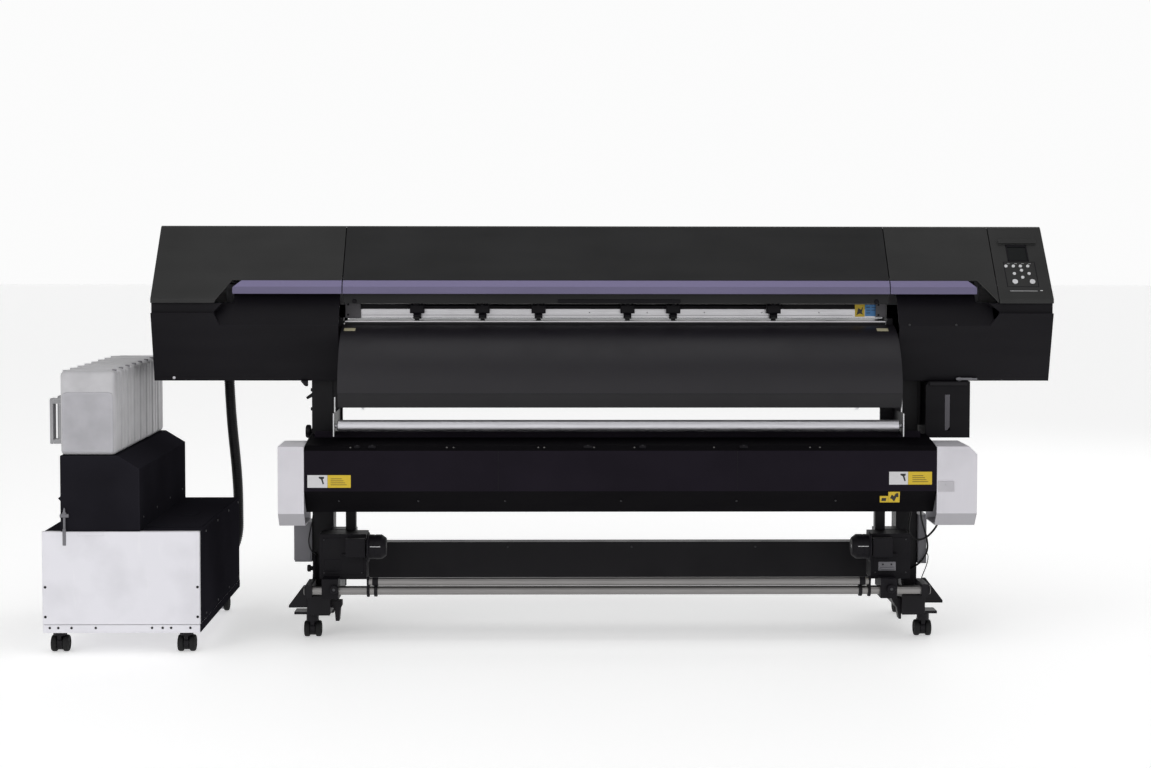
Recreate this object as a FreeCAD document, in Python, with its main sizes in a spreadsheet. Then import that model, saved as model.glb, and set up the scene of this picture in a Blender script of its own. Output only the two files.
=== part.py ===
import FreeCAD, Part
import math
import os
import re

import Sketcher
from FreeCAD import Placement, Rotation, Vector

# A roll-to-roll printer and cutter on a wheeled stand, with its heated dryer, its
# take-up and a separate trolley of ink tanks.  Lengths are in millimetres.
# The sizes below are taken from the middle of the head (x), the front lip of its
# covers (y, growing backwards) and the floor (z).  shift_x and shift_y then move
# every sub-part so that the origin is under the middle of the whole machine.

SIZES = {
    # head: covers
    "head_half": 1388,
    "wall": 3,
    "lip_low": 1037,
    "slope_low": 1049,
    "top_front": 192,
    "top_level": 1273,
    "back_face": 478,
    "seam_left": -805,
    "seam_right": 888,
    "seam_half": 1.5,
    "panel_seam": 1219,
    "body_top": 1006,
    "body_bottom": 794,
    "body_foot": 59,
    "neck_inset": 15,
    "recess_deep": 75,
    "cover_round": 25,
    # accent bar
    "bar_low": 1064,
    "bar_mid": 1086,
    "bar_top": 1105,
    "bar_front": 32,
    "bar_back": 60,
    "bar_left": -1142,
    "bar_right": 1157,
    # front cover and its hinge
    "hinge_back": 333,
    "hinge_level": 1266,
    "hinge_pin": 2.5,
    "hinge_lug": 6.5,
    "running": 0.05,
    # media path
    "media_left": -803,
    "media_right": 885,
    "platen_top": 978,
    "platen_thick": 3,
    "grit_y": 115,
    "grit_radius": 10,
    "grit_core": 6,
    "pinch_radius": 10,
    "pinch_wide": 14,
    "pinch_gap": 0.4,
    "pinch_axle": 2,
    "strip_front": 128,
    "strip_low": 984,
    "strip_top": 1014,
    # carriages and their beam
    "beam_front": 320,
    "beam_back": 380,
    "beam_low": 1020,
    "beam_top": 1110,
    "beam_half": 1330,
    "print_home": 1000,
    "print_wide": 190,
    "cutter_home": -1180,
    "cutter_wide": 90,
    "carriage_front": 156,
    # curved apron
    "apron_left": -809,
    "apron_right": 908,
    "apron_radius": 203.5,
    "apron_back": 115.5,
    "apron_crease": 765,
    "apron_low": 721,
    "sheet": 3,
    # guide pipe
    "pipe_left": -817,
    "pipe_right": 908,
    "pipe_y": -60,
    "pipe_level": 665,
    "pipe_radius": 18,
    "pipe_journal": 6,
    # dryer
    "dryer_left": -903,
    "dryer_right": 1002,
    "dryer_front": -150,
    "dryer_back": 30,
    "dryer_low": 406,
    "dryer_fold": 476,
    "dryer_front_top": 598,
    "dryer_top": 632,
    "end_left": -982,
    "end_right": 1124,
    "end_low": 368,
    "end_fold": 408,
    "end_top": 611,
    # stand
    "leg_left": -908,
    "leg_right": 925,
    "leg_wide": 66,
    "leg_front": 110,
    "leg_deep": 80,
    "foot_low": 75,
    "foot_top": 150,
    "foot_front": -20,
    "foot_back": 480,
    "beam_y": 280,
    "beam_deep": 50,
    "stand_beam_low": 140,
    "stand_beam_top": 256,
    "feed_y": 540,
    "feed_level": 720,
    "feed_radius": 15,
    # take-up
    "bar_y": -70,
    "bar_level": 162,
    "bar_radius": 13.5,
    "bar_start": -914,
    "bar_end": 1000,
    "swing_y": -78,
    "swing_level": 194,
    "swing_radius": 11,
    "roll_y": -50,
    "roll_level": 293,
    "flange_radius": 45,
    "core_radius": 38,
    "core_seat": 40,
    "spindle": 10,
    "drive_left": -871,
    "drive_right": -727,
    "idle_left": 823,
    "idle_right": 945,
    # casters
    "wheel_radius": 25,
    "wheel_wide": 18,
    "wheel_gap": 18,
    "wheel_axle": 4,
    "trail": 14,
    "front_caster_y": 36,
    "rear_caster_y": 420,
    "cart_front_caster": -180,
    "cart_rear_caster": 467,
    # trolley
    "cart_left": -1674,
    "cart_right": -1207,
    "cart_front": -215,
    "cart_back": 570,
    "cart_low": 61,
    "cart_rail": 85,
    "cart_top": 364,
    "inlet_back": 644,
    "pedestal_left": -1619,
    "pedestal_right": -1385,
    "pedestal_top": 590,
    "tank_wide": 164,
    "tank_deep": 90,
    "tank_pitch": 96,
    "tank_high": 251,
    "tank_first": -203,
    # cords
    "hose_radius": 17,
    "thick_cable": 3.2,
    "second_cable": 3,
    "left_cable": 2,
    "thin_cable": 1.5,
}

COVER_SLOPE = math.degrees(math.atan2(SIZES["top_level"] - SIZES["slope_low"], SIZES["top_front"]))
PINCH_PLACES = (-579, -375, -200, 78, 221, 535)
PANEL_KEYS = {
    "function_key_1": (1258, 133, 5),
    "function_key_2": (1281, 133, 5),
    "function_key_3": (1303, 133, 5),
    "function_key_4": (1326, 133, 5),
    "enter_key": (1278, 71, 8.5),
    "power_key": (1332, 71, 8.5),
}
JOG_PLACE = (1304, 102)
JOG_KEYS = ((0, 14), (-24, 1), (22, 1), (0, -14))
LCD = (1271, 157, 58, 58)
HOOD = (1245, 222, 118, 14)
TANK_COUNT = 8

CORDS = {
    "ink_hose": (
        "hose_radius",
        [(-1214, 420, 794), (-1214, 446, 695), (-1214, 494, 590), (-1214, 550, 500),
         (-1215, 600, 408), (-1216, 622, 318), (-1216, 622, 213), (-1266, 622, 125),
         (-1354, 622, 75), (-1455, 622, 75)],
    ),
    "dryer_cable_thick": (
        "thick_cable",
        [(1044, 14, 368), (1041, 30, 348), (1029, 52, 321), (1010, 64, 300), (988, 68, 293),
         (968, 68, 302), (957, 66, 323), (957, 58, 350), (958, 42, 378), (960, 18, 406)],
    ),
    "dryer_cable_second": (
        "second_cable",
        [(984, 18, 406), (990, 36, 374), (1003, 62, 338), (1017, 82, 302), (1023, 86, 264),
         (1010, 84, 234), (986, 88, 208), (966, 110, 196)],
    ),
    "dryer_cable_thin": (
        "thin_cable",
        [(1019, 128, 250), (1029, 120, 244), (1024, 90, 228), (1010, 56, 208), (996, 34, 190),
         (987, 20, 172)],
    ),
    "dryer_cable_left": (
        "left_cable",
        [(-894, 20, 406), (-898, 40, 366), (-910, 56, 326), (-916, 62, 288), (-908, 76, 256),
         (-890, 110, 238)],
    ),
}

doc = FreeCAD.newDocument("PrinterCutter")
sheet = doc.addObject("Spreadsheet::Sheet", "Dims")
SIZES["shift_x"] = -(SIZES["cart_left"] + SIZES["head_half"]) / 2
SIZES["shift_y"] = -(SIZES["cart_front"] + SIZES["inlet_back"]) / 2
for row, (alias, value) in enumerate(SIZES.items(), start=1):
    sheet.set(f"A{row}", alias)
    sheet.set(f"B{row}", str(value))
    sheet.setAlias(f"B{row}", alias)
doc.recompute()


# ---------------------------------------------------------------- building blocks

def bind(text):
    """Turns "wall * 2" into "Dims.wall * 2", an expression that a property can hold."""
    return re.sub(r"[a-z]\w*", lambda word: "Dims." + word[0] if word[0] in SIZES else word[0], str(text))


def put(thing, at, turn=None):
    """Places thing at three expressions, turned by a Rotation when one is given."""
    if turn:
        thing.Placement = Placement(Vector(), turn)
    for axis, text in zip("xyz", at):
        thing.setExpression("Placement.Base." + axis, bind(text))
    return thing


def box(name, x, y, z):
    """A block between two expressions on each axis."""
    block = doc.addObject("Part::Box", name)
    for side, (low, high) in zip(("Length", "Width", "Height"), (x, y, z)):
        block.setExpression(side, bind(f"({high}) - ({low})"))
    return put(block, (x[0], y[0], z[0]))


TURNS = {"x": Rotation(Vector(0, 1, 0), 90), "y": Rotation(Vector(1, 0, 0), -90), "z": Rotation()}


def rod(name, radius, start, length, along="x"):
    """A round bar of an expression's radius and length, from start along an axis."""
    bar = doc.addObject("Part::Cylinder", name)
    bar.setExpression("Radius", bind(radius))
    bar.setExpression("Height", bind(length))
    return put(bar, start, TURNS[along])


def fuse(name, pieces):
    joined = doc.addObject("Part::MultiFuse", name)
    joined.Shapes = list(pieces)
    return joined


def cut(name, base, tools):
    result = doc.addObject("Part::Cut", name)
    result.Base = base
    result.Tool = tools[0] if len(tools) == 1 else fuse(name + "_tools", tools)
    return result


def common(name, first, second):
    result = doc.addObject("Part::Common", name)
    result.Base = first
    result.Tool = second
    return result


PLANES = {"x": ("YZ_Plane", False), "y": ("XZ_Plane", True), "z": ("XY_Plane", False)}


def closed_sketch(body, name, role, points):
    """A closed outline whose corners are each held by two dimensions."""
    sketch = body.newObject("Sketcher::SketchObject", name)
    plane = [feature for feature in body.Origin.OriginFeatures if feature.Role == role][0]
    sketch.AttachmentSupport = [(plane, "")]
    sketch.MapMode = "FlatFace"
    guesses = [tuple(rough(value) for value in point) for point in points]
    count = len(points)
    for i, (u, v) in enumerate(guesses):
        end = guesses[(i + 1) % count]
        sketch.addGeometry(Part.LineSegment(Vector(u, v, 0), Vector(end[0], end[1], 0)))
    for i in range(count):
        sketch.addConstraint(Sketcher.Constraint("Coincident", i, 2, (i + 1) % count, 1))
    for i, point in enumerate(points):
        for kind, value, guess in zip(("DistanceX", "DistanceY"), point, guesses[i]):
            place = sketch.addConstraint(Sketcher.Constraint(kind, -1, 1, i, 1, guess))
            if isinstance(value, str):
                sketch.setExpression(f"Constraints[{place}]", bind(value))
    return sketch


def rough(value):
    """The number that an alias, an alias plus or minus a number, or a number stands for."""
    if not isinstance(value, str):
        return float(value)
    total, sign = 0.0, 1.0
    for word in value.split():
        if word in "+-":
            sign = 1.0 if word == "+" else -1.0
        else:
            total += sign * float(SIZES.get(word, word if word not in SIZES else 0))
    return total


def prism(name, along, outline, start, length):
    """A body made by padding an outline along an axis, from start."""
    body = doc.addObject("PartDesign::Body", name)
    role, backwards = PLANES[along]
    pad = body.newObject("PartDesign::Pad", name + "_pad")
    pad.Profile = closed_sketch(body, name + "_outline", role, outline)
    pad.setExpression("Length", bind(length))
    pad.Reversed = backwards
    body.Tip = pad
    at = {"x": (start, 0, 0), "y": (0, start, 0), "z": (0, 0, start)}[along]
    put(body, at)
    doc.recompute()
    return body


def round_edges(body, radius, wanted):
    """Rounds the edges of the body's last feature whose midpoint is wanted."""
    base = body.Tip
    names = []
    for number, edge in enumerate(base.Shape.Edges, start=1):
        middle = edge.valueAt((edge.FirstParameter + edge.LastParameter) / 2)
        if wanted(middle, edge):
            names.append(f"Edge{number}")
    fillet = body.newObject("PartDesign::Fillet", f"{body.Name}_round{len(body.Group)}")
    fillet.Base = (base, names)
    fillet.setExpression("Radius", bind(radius))
    body.Tip = fillet
    doc.recompute()
    return body


def hollow(body, open_sides):
    """Leaves walls inside the body's last feature, open on the sides that face open_sides."""
    base = body.Tip
    names = []
    for number, face in enumerate(base.Shape.Faces, start=1):
        u_low, u_high, v_low, v_high = face.ParameterRange
        normal = face.normalAt((u_low + u_high) / 2, (v_low + v_high) / 2)
        if isinstance(face.Surface, Part.Plane) and any(normal.dot(side) > 0.999 for side in open_sides):
            names.append(f"Face{number}")
    before = base.Shape.Volume
    shell = body.newObject("PartDesign::Thickness", body.Name + "_shell")
    shell.Base = (base, names)
    shell.Reversed = True
    shell.Join = 1
    shell.setExpression("Value", bind("wall"))
    body.Tip = shell
    doc.recompute()
    if not shell.Shape.Volume < before:
        raise SystemExit(f"{body.Name} was not hollowed")
    return body


RIGHT, LEFT = Vector(1, 0, 0), Vector(-1, 0, 0)
BACK, FRONT = Vector(0, 1, 0), Vector(0, -1, 0)
UP, DOWN = Vector(0, 0, 1), Vector(0, 0, -1)

nodes = []


def deliver(label, thing):
    """Names a finished sub-part and moves it into the machine's own frame."""
    thing.Label = label
    held = dict(thing.ExpressionEngine)
    for axis, shift in (("x", "shift_x"), ("y", "shift_y")):
        path = "Placement.Base." + axis
        old = held.get("." + path, held.get(path, "0"))
        thing.setExpression(path, f"{old} + Dims.{shift}")
    nodes.append(thing)


# ---------------------------------------------------------------- head covers

UPPER_OUTLINE = [
    (0, "lip_low"), (0, "slope_low"), ("top_front", "top_level"),
    ("back_face", "top_level"), ("back_face", "lip_low"),
]


def is_top_front(middle, edge):
    return abs(middle.y - SIZES["top_front"]) < 0.1 and abs(middle.z - SIZES["top_level"]) < 0.1


def upper_shell(name, start, length, open_ends):
    """A hood over one stretch of the head, closed at its outer end if it has one."""
    body = prism(name, "x", UPPER_OUTLINE, start, length)
    round_edges(body, "cover_round", is_top_front)
    return hollow(body, [DOWN, BACK] + open_ends)


def bar_gap(name, outline):
    """The space that the accent bar and the shadow gap below it take out of a hood."""
    return prism(name, "y", outline, -20, "recess_deep + 20")


def left_upper_cover():
    hood = upper_shell("left_hood", "-head_half", "head_half + seam_left - seam_half", [RIGHT])
    gap = bar_gap("left_bar_gap", [
        ("bar_left - 2", "bar_top + 0.5"), (-1202, 1028), (-700, 1028), (-700, "bar_top + 0.5")])
    deliver("left_upper_cover", cut("left_upper_cover_cut", hood, [gap]))


def right_upper_cover():
    hood = upper_shell("right_hood", "seam_right + seam_half",
                       "panel_seam - seam_right - seam_half * 2", [LEFT, RIGHT])
    gap = bar_gap("right_bar_gap", [
        (800, 1028), (1226, 1028), ("bar_right + 2", "bar_top + 0.5"), (800, "bar_top + 0.5")])
    deliver("right_upper_cover", cut("right_upper_cover_cut", hood, [gap]))


def lower_cover(side, start, length, far, near, recess_outline):
    """One end of the head's lower body: a shell with the sunk face under the accent bar."""
    low, high = sorted((far, near))
    body = prism(side + "_lower_block", "x", [
        ("body_foot", "body_bottom"), (0, "body_top"), ("back_face", "body_top"),
        ("back_face", "body_bottom")], start, length)
    neck = box(side + "_neck", (low, high), ("neck_inset", "back_face - neck_inset"),
               ("body_top - 5", "lip_low - 0.5"))
    behind = box(side + "_behind_bar", (sorted((near, recess_outline[0][0]), key=rough)),
                 ("recess_deep - 30", "recess_deep + 40"), ("body_top - 5", "bar_top - 2"))
    whole = fuse(side + "_lower_whole", [body, neck, behind])
    sink = prism(side + "_sink", "x", [(-10, 935), ("recess_deep", "bar_low"), ("recess_deep", 1110),
                                      (-10, 1110)], low - 50, high - low + 100)
    ends = prism(side + "_sink_ends", "y", recess_outline, -30, 150)
    recess = common(side + "_recess", sink, ends)
    outer_wall = 3 if far < near else -3
    inner_low, inner_high = sorted((far + outer_wall, near + outer_wall * 20))
    hollow_low = prism(side + "_hollow_low", "x", [
        ("body_foot + 3.5", "body_bottom + 3"), (18, 957), (79.5, 1058), (79.5, 1140),
        ("back_face + 5", 1140),
        ("back_face + 5", "body_bottom + 3")], inner_low, inner_high - inner_low)
    wing = sorted((far + outer_wall * 7, far + outer_wall * 60))
    hollow_wing = prism(side + "_hollow_wing", "x", [
        ("body_foot + 3.5", "body_bottom + 3"), (5, 1003), (18, 1003), (18, 1045),
        ("back_face + 5", 1045), ("back_face + 5", "body_bottom + 3")], wing[0], wing[1] - wing[0])
    deliver(side + "_lower_cover", cut(side + "_lower_cut", whole, [recess, hollow_low, hollow_wing]))


def left_lower_cover():
    lower_cover("left", "-head_half", 573, -1388, -815, [
        ("bar_left", 1115), ("bar_left", "bar_low"), (-1197, 1010), (-1158, 920), (-700, 920), (-700, 1115)])


def right_lower_cover():
    lower_cover("right", 914, 474, 1388, 914, [
        ("bar_right", 1115), ("bar_right", "bar_low"), (1224, 1010), (1160, 920), (800, 920), (800, 1115)])


BAR_OUTLINE = [
    ("bar_front", "bar_low"), ("bar_front", "bar_mid"), (45, "bar_top"),
    ("bar_back", "bar_top"), ("bar_back", "bar_low"),
]


def accent_trims():
    """The two-faced bar along the front: its ends stay put, its middle opens with the cover."""
    left = prism("left_bar", "x", BAR_OUTLINE, "bar_left", "seam_left - seam_half - bar_left")
    left_bevel = prism("left_bar_bevel", "y", [
        ("bar_left - 5", "bar_mid - 6"), ("bar_left + 30", "bar_top + 3"),
        ("bar_left - 5", "bar_top + 3")], 0, 90)
    right = prism("right_bar", "x", BAR_OUTLINE, "seam_right + seam_half",
                  "bar_right - seam_right - seam_half")
    right_bevel = prism("right_bar_bevel", "y", [
        ("bar_right + 5", "bar_mid - 6"), ("bar_right + 5", "bar_top + 3"),
        ("bar_right - 30", "bar_top + 3")], 0, 90)
    deliver("side_accent_trims", fuse("side_bars", [
        cut("left_bar_cut", left, [left_bevel]), cut("right_bar_cut", right, [right_bevel])]))
    deliver("front_accent_trim", prism("front_bar", "x", BAR_OUTLINE, "seam_left + seam_half",
                                       "seam_right - seam_left - seam_half * 2"))


def front_cover():
    """The hinged cover: a bent sheet with a set-back lower band and a lug at each end."""
    skin = prism("cover_skin", "x", [
        (62, 1033), (62, 1105.8), (48.7, 1105.8), ("top_front", "top_level"),
        ("hinge_back - 3", "top_level"), ("hinge_back - 3", "top_level - 3"),
        (193.4, "top_level - 3"), (55.2, 1108.8), (65, 1108.8), (65, 1033)],
        "seam_left + seam_half", "seam_right - seam_left - seam_half * 2")
    round_edges(skin, "cover_round", is_top_front)
    lugs, holes = [], []
    for name, start in (("left", "seam_left + seam_half + 20"), ("right", "seam_right - seam_half - 28")):
        axis = ("hinge_back", "hinge_level")
        lugs.append(rod(name + "_lug", "hinge_lug", (start, *axis), 8))
        holes.append(rod(name + "_lug_hole", "hinge_pin + running", (start + " - 1", *axis), 10))
    deliver("front_cover", cut("front_cover_cut", fuse("front_cover_whole", [skin] + lugs), holes))


def rear_cover():
    """Back panels, the fixed strip behind the hinge, its pins, and the rear media guide."""
    upper = box("rear_upper", ("-head_half + 2", "head_half - 2"), ("back_face + 0.3", "back_face + wall"),
                (1030, "top_level - 4"))
    left = box("rear_left", ("-head_half + 2", -830), ("back_face + 0.3", "back_face + wall"),
               ("body_bottom + 6", 1031))
    right = box("rear_right", (915, "head_half - 2"), ("back_face + 0.3", "back_face + wall"),
                ("body_bottom + 6", 1031))
    strip = box("rear_top", ("seam_left + seam_half", "seam_right - seam_half"), (340, "back_face + wall"),
                ("top_level - 3", "top_level"))
    upright = box("rear_join", ("seam_left + seam_half", "seam_right - seam_half"),
                  ("back_face + 0.3", "back_face + wall"), (1200, "top_level"))
    pieces = [upper, left, right, strip, upright]
    for name, pin_from, arm_from in (("left", "seam_left + 20", "seam_left + 31"),
                                     ("right", "seam_right - 31", "seam_right - 37")):
        pieces.append(rod(name + "_pin", "hinge_pin", (pin_from, "hinge_back", "hinge_level"), 11))
        pieces.append(box(name + "_arm", (arm_from, arm_from + " + 6"), ("hinge_back - 6", 360),
                          ("hinge_level - 6", "top_level - 3")))
    flat = box("guide_flat", ("media_left", "media_right"), (302, 440), ("platen_top - 6", "platen_top - 3"))
    bend = rod("guide_bend", 120, ("media_left", 440, "platen_top - 123"), "media_right - media_left")
    inside = rod("guide_inside", 117, ("media_left - 1", 440, "platen_top - 123"),
                 "media_right - media_left + 2")
    quarter = box("guide_quarter", ("media_left - 5", "media_right + 5"), (440, 600), (855, 1000))
    guide = common("guide_arc", cut("guide_tube", bend, [inside]), quarter)
    deliver("rear_cover", fuse("rear_cover_whole", pieces + [flat, guide]))


# ---------------------------------------------------------------- head frame and media path

def head_frame():
    """Side plates, floor pan, rear beam and the supports that hold the media path."""
    pan = box("pan", (-1372, 1372), (95, 470), ("body_bottom + 6", "body_bottom + 10"))
    pieces = [pan, box("rear_beam", (-1372, 1372), (400, 460), (810, 930))]
    for name, x in (("left_side", -1378), ("right_side", 1372)):
        pieces.append(box(name, (x, x + 6), (85, 470), (800, 1000)))
    for name, x in (("left_upright", -866), ("right_upright", 936)):
        pieces.append(box(name, (x, x + 8), (382, 470), (800, 1115)))
        pieces.append(box(name + "_low", (x, x + 8), (140, 470), (800, 900)))
    pieces.append(box("platen_support", ("media_left", "media_right"), (140, 290), (880, 974.6)))
    for name, x in (("left_rib", -500), ("middle_rib", 40), ("right_rib", 560)):
        pieces.append(box(name, (x, x + 8), (140, 405), (800, 900)))
    bearings = []
    for name, x in (("left", -826), ("right", 890)):
        block = box(name + "_bearing", (x, x + 18), (98, 145), (880, 986))
        hole = rod(name + "_bearing_hole", "grit_core + running",
                   (x - 1, "grit_y", "platen_top - grit_radius"), 20)
        bearings.append(cut(name + "_bearing_cut", block, [hole]))
        pieces.append(box(name + "_bearing_base", (x, x + 18), (98, 300), (800, 881)))
    deliver("head_frame", fuse("head_frame_whole", pieces + bearings))


def platen():
    """The flat bed under the carriages, with a window over each grit roller."""
    bed = box("bed", ("media_left", "media_right"), (92, 300), ("platen_top - platen_thick", "platen_top"))
    lip = box("bed_lip", ("media_left", "media_right"), (92, 95), (955, "platen_top"))
    windows = [box(f"window_{i}", (x - 22, x + 22), ("grit_y - 14", "grit_y + 14"), (970, 985))
               for i, x in enumerate(PINCH_PLACES)]
    deliver("platen", cut("platen_cut", fuse("platen_whole", [bed, lip]), windows))


def y_rail():
    """The carriage beam with its guide rail, and the bright strip with its end brackets."""
    beam = box("beam", ("-beam_half", "beam_half"), ("beam_front", "beam_back"), ("beam_low", "beam_top"))
    core = box("beam_core", ("-beam_half - 1", "beam_half + 1"), ("beam_front + 5", "beam_back - 5"),
               ("beam_low + 5", "beam_top - 5"))
    rail = box("rail", (-1320, 1320), ("beam_front - 8", "beam_front"), (1055, 1075))
    strip = box("strip", ("media_left + 5", "media_right - 5"), ("strip_front", "strip_front + 6"),
                ("strip_low", "strip_top"))
    flange = box("strip_flange", ("media_left + 5", "media_right - 5"), ("strip_front", "strip_front + 20"),
                 ("strip_top - 3", "strip_top"))
    left = box("left_bracket", ("media_left", -756), (118, 121), (986, 1038))
    left_web = box("left_web", ("media_left", "media_left + 4"), (118, 150), (986, 1038))
    right = box("right_bracket", (857, "media_right + 3"), (118, 121), (990, 1038))
    right_web = box("right_web", ("media_right - 1", "media_right + 3"), (118, 150), (990, 1038))
    front = fuse("strip_whole", [strip, flange, left, left_web, right, right_web,
                                 box("left_tab", (-800, -790), (118, 130), (990, 1010)),
                                 box("right_tab", (872, 880), (118, 130), (992, 1010))])
    deliver("y_rail", fuse("y_rail_whole", [cut("beam_cut", beam, [core]), rail, front]))


def carriage(label, home, wide, low, high):
    """A carriage box with a shoe that runs along the rail."""
    body = box(label + "_box", (home, f"{home} + {wide}"), ("carriage_front", 296), (low, high))
    shoe = box(label + "_shoe", (f"{home} + 10", f"{home} + {wide} - 10"), (290, 311.4), (1040, 1090))
    nose = box(label + "_nose", (f"{home} + 20", f"{home} + {wide} - 20"), (150, "carriage_front + 2"),
               (low + 40, high - 12))
    deliver(label, fuse(label + "_whole", [body, shoe, nose]))


def pinch_parts():
    """Six arms on one cross shaft, each with a fork that holds a rubber pinch roller."""
    axle_level = "platen_top + pinch_gap + pinch_radius"
    arms = [rod("cross_shaft", 4, (PINCH_PLACES[0] - 30, 115, 1022),
                PINCH_PLACES[-1] - PINCH_PLACES[0] + 60)]
    rollers = []
    for i, x in enumerate(PINCH_PLACES):
        arms.append(box(f"arm_{i}", (x - 22, x + 22), (102, 126), (1001, 1028)))
        for side in (-1, 1):
            low, high = sorted((x + side * 8, x + side * 12))
            arms.append(box(f"cheek_{i}_{side + 1}", (low, high), (109, 121), (984, 1002)))
            horn = x + side * 15
            arms.append(box(f"horn_{i}_{side + 1}", (horn - 3, horn + 3), (108, 120), (1027, 1035)))
        arms.append(rod(f"axle_{i}", "pinch_axle", (x - 9, "grit_y", axle_level), 18))
        tyre = rod(f"pinch_{i}", "pinch_radius", (f"{x} - pinch_wide / 2", "grit_y", axle_level),
                   "pinch_wide")
        hole = rod(f"pinch_hole_{i}", "pinch_axle + running",
                   (f"{x} - pinch_wide / 2 - 1", "grit_y", axle_level), "pinch_wide + 2")
        rollers.append(cut(f"pinch_cut_{i}", tyre, [hole]))
    deliver("pinch_arms", fuse("pinch_arms_whole", arms))
    deliver("pinch_rollers", fuse("pinch_rollers_whole", rollers))


def grit_shaft():
    level = "platen_top - grit_radius"
    pieces = [rod("grit_core_rod", "grit_core", (-824, "grit_y", level), 1730)]
    for i, x in enumerate(PINCH_PLACES):
        pieces.append(rod(f"grit_{i}", "grit_radius", (x - 16, "grit_y", level), 32))
    deliver("grit_shaft", fuse("grit_shaft_whole", pieces))


def apron_heater():
    """The curved sheet that carries the print down from the platen: an arc and a lip."""
    wide = "apron_right - apron_left"
    centre = ("apron_left", "apron_back", "apron_crease")
    outer = rod("apron_outer", "apron_radius", centre, wide)
    inner = rod("apron_inner", "apron_radius - sheet", ("apron_left - 1", *centre[1:]), wide + " + 2")
    window = prism("apron_window", "x", [("apron_back", "apron_crease"), (-200, "apron_crease"),
                                         (-200, 1000), (78, 1000)], "apron_left - 2", wide + " + 4")
    arc = common("apron_arc", cut("apron_tube", outer, [inner]), window)
    lip = prism("apron_lip", "x", [(-87.8, "apron_crease + 3"), (-70, "apron_low"), (-10, "apron_low"),
                                   (-10, "apron_low + 3"), (-67.7, "apron_low + 3"),
                                   (-85.2, "apron_crease + 3")], "apron_left", wide)
    ties = []
    for name, x in (("left", "apron_left + 2"), ("right", "apron_right - 6")):
        ties.append(box(f"apron_tie_{name}", (x, x + " + 4"), (-84, 100), (770, 795)))
        ties.append(box(f"apron_stay_{name}", (x, x + " + 4"), (60, 94), (770, 940)))
    deliver("apron_heater", fuse("apron_whole", [arc, lip] + ties))


# ---------------------------------------------------------------- control panel

def panel_block(name, x, along, wide, tall, low, high):
    """A block that lies on the slope, from low to high above its surface."""
    block = doc.addObject("Part::Box", name)
    block.Length, block.Width, block.Height = wide, tall, high - low
    tilt = math.radians(COVER_SLOPE)
    y = along * math.cos(tilt) - low * math.sin(tilt)
    z = along * math.sin(tilt) + low * math.cos(tilt)
    return put(block, (x, y, f"slope_low + {z}"), Rotation(RIGHT, COVER_SLOPE))


def panel_round(name, x, along, radius, low, high):
    key = doc.addObject("Part::Cylinder", name)
    key.Radius, key.Height = radius, high - low
    tilt = math.radians(COVER_SLOPE)
    y = along * math.cos(tilt) - low * math.sin(tilt)
    z = along * math.sin(tilt) + low * math.cos(tilt)
    return put(key, (x, y, f"slope_low + {z}"), Rotation(RIGHT, COVER_SLOPE))


def control_panel():
    hood = upper_shell("panel_hood", "panel_seam + seam_half", "head_half - panel_seam - seam_half", [LEFT])
    x, along, wide, tall = LCD
    holes = [panel_block("lcd_window", x - 0.4, along - 0.4, wide + 0.8, tall + 0.8, -6, 3)]
    for name, (key_x, key_along, radius) in PANEL_KEYS.items():
        holes.append(panel_round(name + "_hole", key_x, key_along, radius + 0.5, -6, 3))
    for i, (dx, dy) in enumerate(JOG_KEYS):
        holes.append(panel_round(f"jog_hole_{i}", JOG_PLACE[0] + dx, JOG_PLACE[1] + dy, 5.5, -6, 3))
    brow = panel_block("brow", HOOD[0], HOOD[1], HOOD[2], HOOD[3], -2, 7)
    deliver("control_panel", cut("panel_cut", fuse("panel_whole", [hood, brow]), holes))
    deliver("lcd_screen", panel_block("lcd", x, along, wide, tall, -5, -1))
    for name, (key_x, key_along, radius) in PANEL_KEYS.items():
        cap = panel_round(name + "_cap", key_x, key_along, radius, -5, 2)
        back = panel_round(name + "_back", key_x, key_along, radius + 1.5, -7, -5)
        deliver(name, fuse(name + "_whole", [cap, back]))
    pads = [panel_block("jog_plate", JOG_PLACE[0] - 31, JOG_PLACE[1] - 21, 60, 42, -7, -5)]
    for i, (dx, dy) in enumerate(JOG_KEYS):
        pads.append(panel_round(f"jog_{i}", JOG_PLACE[0] + dx, JOG_PLACE[1] + dy, 5, -5, 2))
    deliver("jog_keys", fuse("jog_whole", pads))


# ---------------------------------------------------------------- guide pipe and dryer

def guide_pipe():
    tube = rod("pipe", "pipe_radius", ("pipe_left + 8", "pipe_y", "pipe_level"),
               "pipe_right - pipe_left - 16")
    bore = rod("pipe_bore", "pipe_radius - 2", ("pipe_left + 20", "pipe_y", "pipe_level"),
               "pipe_right - pipe_left - 40")
    journal = rod("journal", "pipe_journal", ("pipe_left - 6", "pipe_y", "pipe_level"),
                  "pipe_right - pipe_left + 12")
    deliver("guide_pipe", fuse("guide_pipe_whole", [cut("pipe_cut", tube, [bore]), journal]))


def dryer_housing():
    body = prism("dryer", "x", [
        ("dryer_front", "dryer_fold"), ("dryer_front", "dryer_front_top"), (-128, 612),
        ("dryer_back", "dryer_top"), ("dryer_back", "dryer_low"), (-95, "dryer_low")],
        "dryer_left", "dryer_right - dryer_left")
    deliver("dryer_housing", hollow(body, [LEFT, RIGHT]))


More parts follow.
